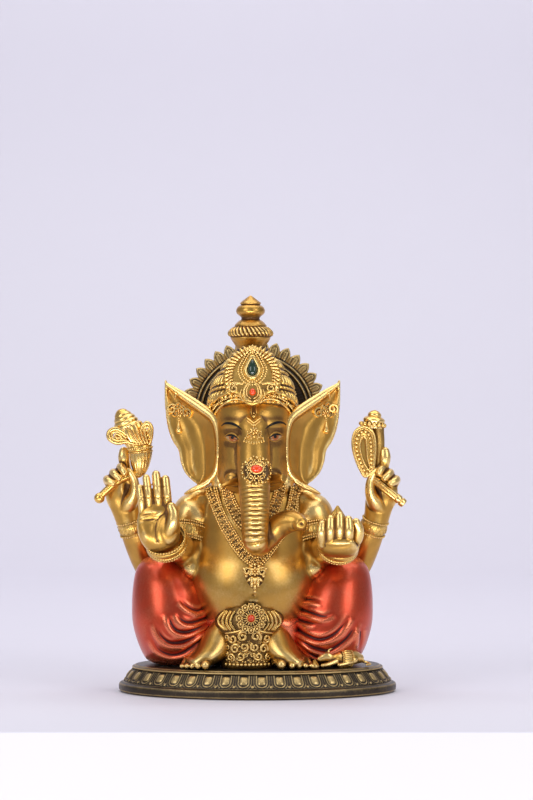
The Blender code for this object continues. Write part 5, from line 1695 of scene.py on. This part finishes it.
ROSETTE = Face((-0.5, -36.2, 40.2), -8)
APRON = [(14.4, -2.5, -24.0, 12.8, 9.6), (16.0, -2.5, -24.0, 13.4, 10.3),
    (22.0, -2.5, -24.5, 12.6, 9.8), (30.0, -2.5, -25.5, 12.6, 9.6), (34.0, -2.2, -25.4, 15.6, 9.6),
    (38.0, -1.6, -25.4, 17.6, 9.6), (42.0, -1.1, -26.0, 16.2, 8.2), (45.6, -1.0, -27.0, 10.0, 5.2)]


def apron_skin():
    """The apron's own form with its scrollwork: rows of paired scrolls and flowers, C-shaped folds
    beside the rosette, an arch over the panel and a row of beads at the hem."""
    form = ovals(APRON, 96, 10)
    form.rub_and_shade[:] = 0.14
    axis = -1.4
    made = [form]
    pairs = ((3.2, 31.0, 2.6, 40), (8.2, 29.8, 2.3, 150), (2.6, 25.6, 2.2, -120),
        (7.0, 24.6, 2.5, 20), (10.8, 25.4, 1.7, 90), (4.4, 20.8, 2.2, 200), (9.2, 20.0, 2.1, -40),
        (1.6, 21.4, 1.3, 30), (11.2, 30.4, 1.6, 240), (11.4, 21.6, 1.4, 10))
    for flip in (1, -1):
        spots = [(axis + x * flip, z) for x, z, _, _ in pairs]
        size = np.array([radius for _, _, radius, _ in pairs])[:, None]
        made.append(set_on(form, scroll(1.35, 0.29), spots, size * 1.06,
                [spin * flip for *_, spin in pairs], lift=0.1))
        for reach, spread in ((9.0, 1.5), (11.0, 1.4), (13.0, 1.6), (15.0, 2.6)):
            path, _ = on_front(form, [(axis + (reach - spread) * flip, 43.0),
                    (axis + reach * flip, 40.4), (axis + (reach + 0.4) * flip, 37.4),
                    (axis + (reach - spread) * flip, 34.6)], 6, 0.3)
            made.append(wire(path, 0.8, rub_and_shade=0.75))
    arch, _ = on_front(form, [(axis - 11.6, 32.6), (axis - 6.4, 33.4), (axis, 35.2),
            (axis + 6.4, 33.4), (axis + 11.6, 32.6)], 8, 0.35)
    hem = np.stack([axis + np.linspace(-11.8, 11.8, 13), np.full(13, 16.4)], 1)
    dots = np.stack([axis + np.linspace(-11.4, 11.4, 18), 18.2 + 0.5 * np.cos(np.arange(18) * 2.4)],
        1)
    fill = np.array([(x, z) for z, xs in ((28.0, (-5.4, -0.1, 5.2)),
            (22.9, (-9.2, -4.6, 0.0, 4.6, 9.2)), (32.6, (-6.0, 6.0)), (18.9, (-6.8, 0.0, 6.8)))
            for x in xs])
    made += [wire(arch, 0.6, rub_and_shade=0.8), set_on(form, bead(8), hem, (0.95, 1.15, 0.95)),
        set_on(form, bead(6), dots, 0.6), set_on(form, flower(5), fill + (axis, 0), 1.15, lift=0.1)]
    return joined(*made)


def rosette_skin():
    """The belt's rosette: a disc, twelve cup-shaped petals with beads in them, a ring of small
    beads, and a dark middle of radiating leaves."""
    disc = gem(ROSETTE, (0, 0), around(48, 7.2), 1.0)
    disc.rub_and_shade[:] = 0.03
    spots = around(12, 6.1)[:, ::-1]
    cups = [ROSETTE.line(spot + around(12, 1.35), 0.36, 0.75, 2, True, 0.85) for spot in spots]
    return joined(disc, *cups, ROSETTE.set(bead(8), spots, 0.85, 0, 0.8),
        ROSETTE.set(bead(6), around(24, 7.5, start=0.13)[:, ::-1], 0.55, 0, 0.1),
        ROSETTE.set(bead(6), around(30, 4.4)[:, ::-1], 0.42, 0, 1.0),
        ROSETTE.set(bead(6), around(16, 3.1)[:, ::-1], (0.36, 0.95, 0.4), np.degrees(circle(16)),
            1.0), ROSETTE.line(around(14, 2.1), 0.35, 1.1, 2, True))


class IDOL_OT_belt(bpy.types.Operator):
    """Builds the apron of scrollwork and the belt's rosette"""
    bl_idname = "idol.belt"
    bl_label = "Belt"

    def execute(self, context):
        piece("scroll_apron", apron_skin(), RELIEF, "waist_sash", sharp=80)
        piece("petal_rosette", rosette_skin(), RELIEF, "belt_rosette", sharp=80)
        piece("belt_cabochon", gem(ROSETTE, (0, 0), around(24, 1.75), 1.5, 1.1), RUBY, "belt_stone")
        return {"FINISHED"}


# ------------------------------------------------------------------ arms and hands

def finger(points, radius, taper=0.12):
    """A finger through its joints, a little finer at the tip."""
    rows = [(*point, radius * (1 - taper * k), radius * (1 - taper * k))
        for k, point in enumerate(points)]
    return limb(rows, 18, 6, up=(1, 0, 0))


def blessing_hand():
    """The right front hand, raised with its palm forward."""
    parts = [limb([(-45.6, -28.0, 76.0, 7.4, 5.6), (-46.2, -31.6, 79.5, 9.6, 5.4),
            (-47.2, -33.4, 84.5, 10.8, 4.6), (-48.0, -34.0, 90.0, 10.6, 3.8),
            (-48.8, -34.2, 95.0, 9.0, 3.0), (-49.2, -34.2, 97.4, 7.8, 2.4)], 44, 8, up=(0, -1, 0))]
    for base, tip, radius in (((-55.6, 94.0), (-57.0, 108.4), 1.9),
            ((-51.9, 95.0), (-53.8, 113.6), 2.2), ((-47.2, 95.4), (-48.8, 115.6), 2.45),
            ((-42.6, 94.6), (-44.0, 113.2), 2.4)):
        middle = ((base[0] + tip[0]) / 2, -35.2, (base[1] + tip[1]) / 2)
        parts.append(finger([(base[0], -34.2, base[1]), middle, (tip[0], -34.0, tip[1] - radius)],
                radius, 0.05))
    parts.append(finger([(-44.4, -33.4, 80.0), (-40.6, -37.6, 88.0), (-39.8, -38.4, 93.4),
            (-40.9, -38.2, 97.0)], 3.9, 0.13))
    parts.append(ball((-43.0, -35.0, 85.6), (5.8, 3.9, 8.4), 32, 24))
    return parts


def blessing_sculpt(points, normals):
    """The hollow of the palm and its two creases."""
    front = held(-normals[:, 1])
    hollow = -1.0 * brush(points, (-52.0, -38.0, 88.0), (3.4, 4.0, 4.8))
    heel = 0.6 * brush(points, (-54.6, -38.0, 82.0), (2.6, 4.0, 4.6))
    edge = np.abs(np.hypot((points[:, 0] + 41.6) / 1.0, (points[:, 2] - 84.6) / 1.35) - 7.4)
    heel -= 0.42 * bell(edge / 0.8) * (points[:, 0] < -43.6) * (points[:, 2] > 79)
    creases = sum(-0.45 * bell((points[:, 2] - level - slope * (points[:, 0] + 51)) / 0.42)
        * held(1 - ((points[:, 0] + 52.4) / 5.0) ** 4) for level, slope in ((93.4, 0.16),
            (90.4, 0.06)))
    pads = 0.35 * brush(points, (-50.0, -38.0, 94.0), (6.0, 4.0, 1.2))
    joints = -0.22 * bell((points[:, 2] - 101.6) / 0.35) - 0.18 * bell((points[:, 2] - 107.0) / 0.3)
    return (hollow + heel + creases * (points[:, 2] < 96) + pads
        + joints * (points[:, 0] < -42)) * front


def offering_hand():
    """The left front hand, cupped upwards round a sweet."""
    parts = [limb([(44.6, -27.0, 76.4, 7.0, 5.6), (44.2, -31.0, 75.4, 9.2, 5.2),
            (43.6, -35.0, 75.6, 10.4, 5.0), (43.2, -38.0, 77.0, 9.9, 4.4),
            (42.8, -40.2, 79.2, 9.0, 3.2)], 40, 8)]
    for x, low, high in ((34.9, 80.0, 90.2), (39.5, 79.0, 92.9), (44.3, 78.6, 94.6),
            (48.9, 79.0, 92.6)):
        parts.append(finger([(x * 0.93 + 3.0, -38.6, low - 2.0), (x, -42.4, (low + high) / 2 - 1.0),
                (x * 0.96 + 1.7, -41.4, high - 2.2)], 2.55, 0.05))
    parts.append(finger([(50.4, -33.0, 77.0), (53.4, -36.0, 81.0), (54.0, -38.0, 85.4),
            (52.6, -39.0, 89.0)], 3.1, 0.08))
    return parts


def sweet_skin():
    """The sweet in the palm: an onion-shaped dumpling with pleats that close at its tip."""
    profile = spaced(spline([(80.4, 3.4), (82.6, 4.8), (86.0, 5.2), (90.0, 4.6), (93.2, 3.0),
            (95.6, 1.5), (97.4, 0.4)], 8), 60)
    angle = circle(120)[None]
    z, r = profile[:, :1], profile[:, 1:]
    pleat = (np.abs(np.cos(angle * 6 + (z - 80) * 0.05)) - 0.5) * held((z - 82) / 6) * r * 0.16
    reach = r + pleat
    return skin(np.stack([43.4 + reach * np.cos(angle), -33.4 + reach * np.sin(angle),
            z + 0 * angle], -1))


def rear_arm_parts(side):
    """The rear upper arm down to its elbow and the forearm up to the wrist."""
    return [limb(side_rows([(25.0, 14.0, 90.0, 10.0, 9.6), (36.0, 20.0, 76.0, 9.0, 9.0),
            (46.0, 23.6, 61.0, 8.4, 8.4), (50.4, 24.0, 54.4, 7.4, 7.4)], side), 36, 8),
        limb(side_rows([(50.2, 23.4, 54.4, 7.2, 7.2), (56.4, 17.0, 66.0, 7.0, 7.0),
            (60.6, 12.0, 77.0, 6.9, 6.6), (63.6, 9.4, 86.0, 6.3, 6.0), (65.8, 8.2, 99.0, 6.2, 5.2)],
            side), 36, 8, up=(0, -1, 0))]


def rear_fist(side):
    """A fist seen from its palm side: the fingers come over the handle from behind, with their
    tips in front, the thumb lies up along the palm's inner edge and the first finger is raised."""
    x0 = 67.0 if side < 0 else 66.0
    parts = [limb(side_rows([(64.2, 8.8, 85.0, 6.0, 5.6), (x0, 7.8, 95.6, 7.4, 5.0),
            (x0 + 1.6, 7.4, 101.0, 8.2, 5.0), (x0 + 1.6, 7.4, 106.0, 8.0, 4.8),
            (x0 + 0.8, 7.4, 111.0, 7.0, 4.4)], side), 36, 8, up=(0, -1, 0))]
    knuckles = (((68.6, 116.0), (66.4, 113.2)), ((72.4, 113.0), (69.2, 110.4)),
        ((75.6, 109.6), (72.4, 107.8)))
    for (kx, kz), (tx, tz) in knuckles:
        kx, tx = (kx, tx) if side < 0 else (kx - 0.8, tx - 0.6)
        parts.append(limb(side_rows([(kx - 4.0, 7.6, kz - 6.5, 2.6, 2.6),
                (kx - 0.6, 7.0, kz - 1.6, 2.6, 2.6), (kx, 3.4, kz, 2.4, 2.4),
                (kx - 1.0, -0.2, kz - 0.9, 2.1, 2.1), (tx, -1.8, tz, 1.8, 1.8)], side), 18, 8,
                up=(1, 0, 0)))
    shift, near = (0.0, 0.0) if side < 0 else (1.8, -4.0)
    parts.append(limb(side_rows([(65.2 + shift, 7.4 + near, 112.0, 2.6, 2.6),
            (66.8 + shift, 6.6 + near, 118.0, 2.9, 2.6), (67.2 + shift, 6.2 + near, 121.5, 3.0,
            2.6), (67.0 + shift, 6.4 + near, 124.4, 2.6, 2.2)], side), 18, 8, up=(0, -1, 0)))
    parts.append(limb(side_rows([(66.6, 7.0, 94.0, 5.0, 4.4), (63.4, 4.0, 99.0, 4.2, 3.8),
            (61.4, 2.0, 104.0, 3.0, 2.8), (61.4, 0.8, 109.0, 2.2, 2.1),
            (63.2, -0.2, 113.0, 1.7, 1.6), (64.4, -0.6, 114.6, 1.4, 1.3)], side), 24, 8,
            up=(0, -1, 0)))
    return parts


def fist_sculpt(side):
    """The hollow between the thumb and the handle."""
    def sculpt(points, normals):
        """One soft dent, on the side that faces forward."""
        front = held(-normals[:, 1])
        return -1.4 * brush(points, (side * 65.6, 2.0, 105.0), (2.2, 6.0, 4.6)) * front
    return sculpt


class IDOL_OT_hands(bpy.types.Operator):
    """Casts the front hands and the sweet"""
    bl_idname = "idol.hands"
    bl_label = "Front hands"

    def execute(self, context):
        piece("blessing_hand", cast(blessing_hand(), 0.36, 5, blessing_sculpt, gain=1.6), GOLD,
            "right_front_hand")
        piece("offering_hand", cast(offering_hand(), 0.36, 5, gain=1.6), GOLD, "left_front_hand")
        piece("pleated_sweet", worn(sweet_skin(), near=3, far=12, gain=1.4, base=0.45), RELIEF,
            "offered_sweet")
        return {"FINISHED"}


class IDOL_OT_rear_arms(bpy.types.Operator):
    """Casts the rear arms and their fists"""
    bl_idname = "idol.rear_arms"
    bl_label = "Rear arms"

    def execute(self, context):
        for side, name in SIDES:
            piece(f"{name}_rear_arm_casting", cast(rear_arm_parts(side), 0.6, 8, gain=0.8,
                    base=0.42), GOLD, f"{name}_rear_upper_arm", f"{name}_rear_forearm")
            piece(f"{name}_rear_fist", cast(rear_fist(side), 0.38, 6, fist_sculpt(side), gain=1.8),
                GOLD, f"{name}_rear_hand")
        return {"FINISHED"}


class IDOL_OT_bangles(bpy.types.Operator):
    """Builds the armlets and the bracelets of all the arms"""
    bl_idname = "idol.bangles"
    bl_label = "Bangles"

    def execute(self, context):
        for side, name in SIDES:
            centre, axis = np.array((33.2 * side, -1.4, 80.6)), unit(
                np.array((0.12 * side, -0.36, -0.92)))
            armlet = [bangle(centre, axis, 10.2, 1.3, 7.4, zigzag(11))]
            armlet += [bead_hoop(centre + axis * shift, axis, 11.4, 0.62)
                for shift in (-4.4, 4.4, -2.9, 2.9)]
            piece(f"{name}_beaded_armlet", joined(*armlet), RELIEF, f"{name}_armlet", sharp=80)
            centre = np.array((43.9 * side, -28.0, 78.6 - WRIST_DROP[side] * 0.5))
            axis = unit(np.array(((0.19 if side < 0 else 0.12) * side, -0.70, 0.70)))
            wrist = [bangle(centre, axis, 9.0, 1.5, 3.0), bead_hoop(centre + axis * 2.4, axis, 10.2,
                    0.75)]
            wrist.append(rope(hoop(centre - axis * 2.4, axis, 9.9, 160)[0], 1.0, 2, 2.4, axis,
                    True))
            wrist.append(bead_hoop(centre - axis * 4.2, axis, 9.6, 0.7))
            piece(f"{name}_corded_bracelet", joined(*wrist), RELIEF, f"{name}_bracelet", sharp=80)
            centre, axis = np.array((63.4 * side, 9.9, 84.9)), unit(
                np.array((0.27 * side, -0.26, 0.93)))
            rear = [bangle(centre, axis, 5.6, 1.2, 6.0, zigzag(9))]
            rear += [bead_hoop(centre + axis * shift, axis, 6.7, 0.62) for shift in (-3.6, 3.6)]
            piece(f"{name}_leafy_bracelet", joined(*rear), RELIEF, f"{name}_rear_bracelet",
                sharp=80)
        return {"FINISHED"}


# ------------------------------------------------------------------ attributes

def turned(profile, base, tip, sides=72, relief=None):
    """A turned form between two points: profile gives (share of the way, radius), and relief adds
    to the radius by share and angle."""
    base, tip = np.array(base, float), np.array(tip, float)
    _, side, top = square_to(tip - base)
    rows = spaced(spline(np.array(profile, float), 8), 90)
    angle = circle(sides)[None]
    extra = relief(rows[:, :1], angle) if relief else 0.0
    reach = rows[:, 1:] + extra
    rings = (base + (rows[:, :1] * (tip - base))[:, None] + side
        * (reach * np.cos(angle))[..., None] + top * (reach * np.sin(angle))[..., None])
    return skin(rings)


def goad_skin():
    """The right rear attribute: a spiral cone over a fluted flare with a looped lobe on each side,
    a banded neck, a ribbed cup, and a beaded handle with a ball at its end."""
    cone = turned([(0.0, 6.2), (0.12, 6.8), (0.5, 5.6), (0.85, 3.3), (0.97, 1.6), (1.0, 0.3)],
        (-64.4, 3.4, 135.8), (-69.4, 3.4, 146.2), relief=lambda share,
        angle: 0.75 * (np.abs(np.cos(share * 15.5 + angle * 0.5)) - 0.5) * (1.08 - share))
    flare = turned([(0.0, 5.2), (0.1, 5.6), (0.6, 6.6), (1.0, 6.6), (1.12, 5.4)],
        (-59.0, 3.4, 127.0), (-63.8, 3.4, 136.8), relief=lambda share,
        angle: 0.7 * (np.abs(np.cos(angle * 7)) - 0.5))
    cup = turned([(0.0, 1.6), (0.12, 3.0), (0.4, 4.6), (0.75, 5.6), (1.0, 5.9)],
        (-58.8, 2.6, 111.6), (-58.2, 3.4, 124.6), relief=lambda share,
        angle: 0.4 * (np.abs(np.cos(angle * 9 + share * 2)) - 0.5))
    lean = (-0.1, 0, 1)
    made = [worn(form, near=3, far=10, gain=1.6, base=0.5) for form in (cone, flare, cup)]
    made += [bangle((-58.6, 3.4, 126.0), lean, 4.6, 1.5, 3.4),
        bead_hoop((-58.59, 3.4, 125.9), lean, 6.2, 0.6)]
    for shift in (-2.1, 2.1):
        turn, _ = hoop((-58.6 - shift * 0.1, 3.4, 126.0 + shift), lean, 6.1, 120)
        made.append(rope(turn, 0.55, 2, 2.0, (0, 0, 1), True))
    loops = (([(-60.8, 128.0), (-65.4, 129.2), (-70.6, 128.8), (-74.4, 131.2), (-74.2, 134.6),
            (-70.8, 136.0), (-66.8, 134.2), (-63.0, 130.6)], (-70.0, 132.2), 3.4),
        ([(-57.0, 128.0), (-57.4, 132.0), (-57.2, 136.6), (-54.8, 139.0), (-52.6, 136.8),
            (-52.6, 132.0), (-53.4, 128.2)], (-54.9, 134.0), 3.2))
    face = Face((0, -1.6, 0), 0)
    for outline, middle, reach in loops:
        outline = np.array(outline)
        x, z = (outline[0] + outline[-1]) / 2
        pad = limb([(x, 1.6, z, 2.4, 1.5), (middle[0], 1.6, middle[1], reach, 1.6)], 28, 8,
            up=(0, -1, 0))
        pad.rub_and_shade[:] = 0.35
        made += [pad, face.line(outline, 1.25, 0.3), face.line((outline - middle) * 0.62 + middle,
                0.7, 0.9), face.line((outline - middle) * 0.28 + middle, 0.6, 1.1)]
    for k in range(5):
        x = -61.6 + k * 1.5
        made.append(face.line([(x + 1.6, 128.4), (x - 0.2 - (2 - k) * 0.2, 131.6),
                (x - 1.6 - (2 - k) * 0.5, 135.6)], 0.5, 2.6))
    rod = spline([(-79.0, 0.8, 101.0), (-74.0, 0.4, 105.6), (-68.6, 0.6, 109.4),
            (-63.6, 1.0, 111.4), (-59.0, 2.2, 112.4)], 10)
    made += [wire(rod, 1.9, 16, 0.45), beads_along(rod[:26] + (0.1, -1.5, 0.8), 0.8, (0, -0.8, 0.5),
            2.0), ball((-79.6, 0.8, 100.0), (2.8, 2.8, 2.8), 28, 20)]
    return joined(*made)


NOOSE_OUTER = [(58.6, 111.2), (55.9, 115.0), (53.8, 120.0), (52.4, 125.0), (52.1, 130.0),
    (53.4, 134.6), (57.2, 137.2), (61.2, 136.0), (63.4, 131.6), (63.8, 125.0), (63.3, 119.0),
    (62.4, 114.4)]
NOOSE_INNER = [(60.2, 114.6), (58.0, 118.4), (56.4, 122.6), (55.8, 126.6), (56.4, 130.6),
    (57.9, 132.2), (59.0, 130.4), (59.4, 126.0), (59.8, 120.6), (61.0, 116.0)]


def noose_skin():
    """The left rear attribute: a leaf-shaped loop with a slot and beads round it, under a domed cap
    on a shaft, with a ridged handle."""
    face = Face((0, 0.2, 0), 0)
    outer = spaced(spline(np.array(NOOSE_OUTER), 8, True), 120, True)
    inner = spaced(spline(np.array(NOOSE_INNER), 8, True), 120, True)
    depth = ((0.0, -2.4), (0.0, 1.0), (0.08, 1.5), (0.5, 1.3), (0.92, 1.5), (1.0, 1.0), (1.0, -2.4))
    band = skin(np.stack([face.at(outer + (inner - outer) * share, rise) for share, rise in depth],
            axis=1), 0.25, True)
    between = face.at((outer + inner) / 2, 1.4)
    made = [band, beads_along(between, 1.0, (0, -1, 0), 2.1, True),
        face.line(outer[::4], 0.72, 1.2, 4, True, 0.85), face.line(inner[::6], 0.5, 1.4, 6, True,
            0.85), face.line((outer * 0.78 + inner * 0.22)[::4], 0.3, 1.6, 4, True)]
    middle = inner.mean(axis=0)
    back = gem(Face((0, 2.4, 0), 0), middle, (inner - middle) * 1.2, 0.3)
    back.rub_and_shade[:] = 0.35
    cap = turned([(0.0, 5.0), (0.28, 5.4), (0.40, 5.7), (0.50, 5.6), (0.60, 4.4), (0.64, 3.5),
            (0.72, 3.6), (0.82, 3.2), (0.94, 1.8), (1.0, 0.3)], (62.8, 2.6, 136.4),
        (63.9, 2.6, 145.8))
    shaft = limb([(63.4, 4.0, 108.0, 1.6, 1.6), (65.6, 4.2, 117.0, 2.2, 2.2),
            (66.0, 3.8, 128.0, 2.9, 2.6), (65.4, 3.2, 136.6, 3.4, 3.0)], 20, 8)
    rod = spline([(61.8, 1.6, 111.0), (66.0, 0.4, 107.6), (71.0, 0.2, 103.6), (76.0, 0.6, 99.4)],
        12)
    handle = turned([(0.0, 1.7), (0.5, 2.1), (0.93, 1.9), (1.0, 1.2)], rod[0], rod[-1], 40,
        relief=lambda share, angle: 0.45 * (np.abs(np.cos(angle * 4)) - 0.5))
    end = turned([(0.0, 1.6), (0.06, 2.3), (0.4, 2.4), (0.46, 2.0), (0.56, 2.0), (0.62, 2.4),
            (0.94, 2.3), (1.0, 1.4)], (74.6, 0.5, 100.6), (79.0, 0.9, 96.8), 32)
    made += [worn(form, near=3, far=10, gain=1.5, base=0.5) for form in (cap, handle, end)]
    shaft.rub_and_shade[:] = 0.2
    made += [shaft, back, bead_hoop((62.6, 2.4, 138.2), (0.1, 0, 1), 6.1, 1.25, 2.0)]
    return joined(*made)


class IDOL_OT_attributes(bpy.types.Operator):
    """Builds what the rear hands hold"""
    bl_idname = "idol.attributes"
    bl_label = "Attributes"

    def execute(self, context):
        piece("spiral_goad", goad_skin(), RELIEF, "goad", sharp=80)
        piece("leaf_noose", noose_skin(), RELIEF, "noose", sharp=80)
        return {"FINISHED"}


# ------------------------------------------------------------------ feet and mouse

def foot_parts(side):
    """A bare foot that comes out from under the hem, with five toes."""
    toes = ((-23.6, 2.2), (-27.4, 1.6), (-30.4, 1.5), (-33.2, 1.35),
        (-35.8, 1.2)) if side < 0 else ((14.8, 2.4), (20.2, 1.7), (23.8, 1.6), (27.2, 1.45),
        (30.2, 1.3))
    ankle = -15.0 if side < 0 else 9.4
    parts = [limb([(ankle - side * 2.0, -19.0, 35.0, 6.6, 7.4),
            (ankle + side * 2.5, -23.0, 27.0, 8.8, 8.6), (ankle + side * 9.0, -27.0, 20.8, 9.4,
            6.0), (ankle + side * 15.0, -29.0, 17.8, 8.4, 3.4)], 40, 8)]
    for k, (x, radius) in enumerate(toes):
        y = -36.6 + k * 1.3
        parts.append(limb([(x - side * 2.0, y + 5.0, 18.6, radius, radius),
                (x - side * 0.4, y + 1.6, 14.6 + radius * 1.15, radius, radius),
                (x, y - 0.6, 14.5 + radius, radius, radius)], 20, 6))
    return parts


def mouse_parts():
    """The mouse lying along the plinth: body, head, snout, paws and tail."""
    parts = [limb([(55.0, -16.4, 18.2, 2.4, 2.6), (51.0, -19.0, 19.0, 3.9, 4.2),
            (45.0, -22.0, 19.2, 3.9, 4.0), (41.0, -24.0, 19.4, 3.0, 3.1),
            (38.0, -25.4, 20.0, 2.9, 3.0), (34.4, -27.0, 18.8, 1.4, 1.4)], 32, 8)]
    parts += [limb([(43.0, -25.6, 17.6, 1.6, 1.6), (39.0, -28.0, 16.2, 1.3, 1.2),
            (35.6, -29.2, 15.6, 1.1, 1.0)], 16, 6), limb([(51.6, -21.0, 17.8, 2.6, 2.4),
            (48.0, -24.2, 16.4, 1.7, 1.4), (44.4, -26.2, 15.6, 1.2, 1.0)], 16, 6),
        limb([(55.4, -16.6, 17.4, 1.1, 1.1), (58.6, -15.4, 16.0, 0.8, 0.8),
            (60.6, -17.6, 15.4, 0.6, 0.6), (58.6, -20.2, 15.2, 0.5, 0.5)], 12, 8)]
    for dy in (0.0, 3.0):
        ear, _ = hoop((40.6 + dy * 0.2, -26.2 + dy, 22.8), (0.25, -1.0, 0.1), 1.5, 24)
        parts.append(cord(ear, 0.6, 10, (0, 0, 1), True))
        parts.append(ball((40.6 + dy * 0.2, -25.9 + dy, 22.8), (1.3, 0.45, 1.4), 16, 10))
    return parts


def mouse_cloth():
    """The cloth over the mouse's back: a ribbed band with a beaded border on each edge."""
    centre, axis = np.array((47.0, -21.0, 18.7)), unit(np.array((0.88, 0.47, 0.0)))
    return joined(bangle(centre, axis, 3.9, 0.9, 5.2, ribs(26), 130),
        *[bead_hoop(centre + axis * shift, axis, 4.8, 0.5) for shift in (-2.8, 2.8)])


class IDOL_OT_feet(bpy.types.Operator):
    """Casts the feet"""
    bl_idname = "idol.feet"
    bl_label = "Feet"

    def execute(self, context):
        for side, name in SIDES:
            piece(f"{name}_foot_casting", cast(foot_parts(side), 0.4, 5, gain=1.8), GOLD,
                f"{name}_foot")
        return {"FINISHED"}


class IDOL_OT_mouse(bpy.types.Operator):
    """Casts the mouse, its cloth and its sweet"""
    bl_idname = "idol.mouse"
    bl_label = "Mouse"

    def execute(self, context):
        piece("mouse_casting", cast(mouse_parts(), 0.32, 3, gain=2.0), GOLD, "mouse")
        piece("mouse_saddle_cloth", mouse_cloth(), RELIEF, "mouse_cloth", sharp=80)
        dumpling = turned([(0.0, 1.8), (0.15, 2.3), (0.4, 2.2), (0.7, 1.1), (1.0, 0.2)],
            (31.8, -31.0, 14.4), (31.8, -31.0, 19.0), 48, lambda share,
            angle: 0.22 * (np.abs(np.cos(angle * 5)) - 0.5) * share)
        piece("small_sweet", worn(dumpling, near=2, far=8), GOLD, "mouse_sweet")
        return {"FINISHED"}


# ------------------------------------------------------------------ stage

class IDOL_OT_stage(bpy.types.Operator):
    """Sets the table, backdrop, soft lights and camera"""
    bl_idname = "idol.stage"
    bl_label = "Stage"

    def execute(self, context):
        bends = np.radians(np.linspace(0, 90, 16))
        cove = np.stack([900 + 500 * np.sin(bends), 500 - 500 * np.cos(bends)], 1)
        front_edge = np.array([(-182.0, -900.0), (-182.0, -0.5), (-181.5, 0.0)])
        line = np.vstack([front_edge, [(0.0, 0.0), (500.0, 0.0)], cove, [(1400.0, 2600.0)]])
        x = np.array([-3500.0, 3500.0])
        points = np.stack([np.broadcast_to(x, (len(line), 2)), np.repeat(line[:, :1], 2, 1),
                np.repeat(line[:, 1:], 2, 1)], -1)
        sweep = mesh_of("table", Surface(points, sheet_faces(len(line), 2)), tidy=False)
        recipe = Recipe("table_paint")
        grain = recipe.noise(40.0)
        recipe.set(Base_Color=recipe.blend(grain * 0.15, tuple(colours().table),
                blend_colours(colours().table, (1, 1, 1), 0.3)), Roughness=0.6)
        sweep.materials.append(recipe.material)
        table = bpy.data.objects.new("table", sweep)
        context.scene.collection.objects.link(table)

        world = bpy.data.worlds.new("studio")
        context.scene.world = world
        world.use_nodes = True
        world.node_tree.nodes["Background"].inputs["Color"].default_value = (0.74, 0.74, 0.82, 1)
        world.node_tree.nodes["Background"].inputs["Strength"].default_value = 0.40
        for name, place, aim, size, power in (("softbox_left", (-0.75, -0.85, 0.62), (0, 0, 0.09),
                    (0.55, 0.9), 4.2), ("softbox_right", (0.80, -0.80, 0.58), (0, 0, 0.09),
                    (0.50, 0.9), 3.8), ("top_panel", (0.0, -0.10, 1.15), (0, 0, 0.05), (1.1, 0.8),
                    3.6), ("backdrop_wash", (0.0, 0.45, 1.5), (0, 1.35, 0.5), (2.0, 0.6), 12.0),
                ("edge_fill", (0.0, -1.3, -0.55), (0, -0.18, -0.08), (1.6, 0.3), 16.0)):
            light = bpy.data.lights.new(name, "AREA")
            light.shape = "RECTANGLE"
            light.size, light.size_y = size
            light.energy = power
            holder = bpy.data.objects.new(name, light)
            holder.location = place
            way = Vector([a - p for a, p in zip(aim, place)])
            holder.rotation_euler = way.to_track_quat("-Z", "Y").to_euler()
            context.scene.collection.objects.link(holder)

        camera = bpy.data.cameras.new("camera")
        camera.sensor_fit = "VERTICAL"
        camera.sensor_height = 36.0
        camera.lens = 125.5
        camera.clip_end = 20.0
        holder = bpy.data.objects.new("camera", camera)
        holder.location = (0.0073, -1.45, 0.151)
        holder.rotation_euler = (math.radians(90), 0, 0)
        context.scene.collection.objects.link(holder)
        context.scene.camera = holder
        context.scene.view_settings.view_transform = "Standard"
        return {"FINISHED"}


OPERATORS = (IDOL_OT_plinth, IDOL_OT_halo, IDOL_OT_body, IDOL_OT_head, IDOL_OT_ears,
    IDOL_OT_garment, IDOL_OT_crown, IDOL_OT_face_jewels, IDOL_OT_necklaces, IDOL_OT_belt,
    IDOL_OT_hands, IDOL_OT_rear_arms, IDOL_OT_bangles, IDOL_OT_attributes, IDOL_OT_feet,
    IDOL_OT_mouse, IDOL_OT_stage)


class IDOL_PT_panel(bpy.types.Panel):
    """Lists the sizes, colours and pieces of the idol"""
    bl_idname = "IDOL_PT_panel"
    bl_label = "Idol"
    bl_space_type = "VIEW_3D"
    bl_region_type = "UI"
    bl_category = "Idol"

    def draw(self, context):
        """One row for each setting and one button for each operator."""
        for group in (context.scene.idol_sizes, context.scene.idol_colours):
            for key in group.__annotations__:
                self.layout.prop(group, key)
        for operator in OPERATORS:
            self.layout.operator(operator.bl_idname)


CLASSES = (IdolSizes, IdolColours, *OPERATORS, IDOL_PT_panel)


def register():
    """Makes the classes known and hangs the settings on the scene."""
    for cls in CLASSES:
        bpy.utils.register_class(cls)
    bpy.types.Scene.idol_sizes = bpy.props.PointerProperty(type=IdolSizes)
    bpy.types.Scene.idol_colours = bpy.props.PointerProperty(type=IdolColours)


def unregister():
    """Undoes register, in the opposite order."""
    del bpy.types.Scene.idol_colours
    del bpy.types.Scene.idol_sizes
    for cls in reversed(CLASSES):
        bpy.utils.unregister_class(cls)


def main():
    """Builds the idol piece by piece."""
    register()
    for operator in OPERATORS:
        group, _, action = operator.bl_idname.partition(".")
        getattr(getattr(bpy.ops, group), action)()


if __name__ == "__main__":
    main()
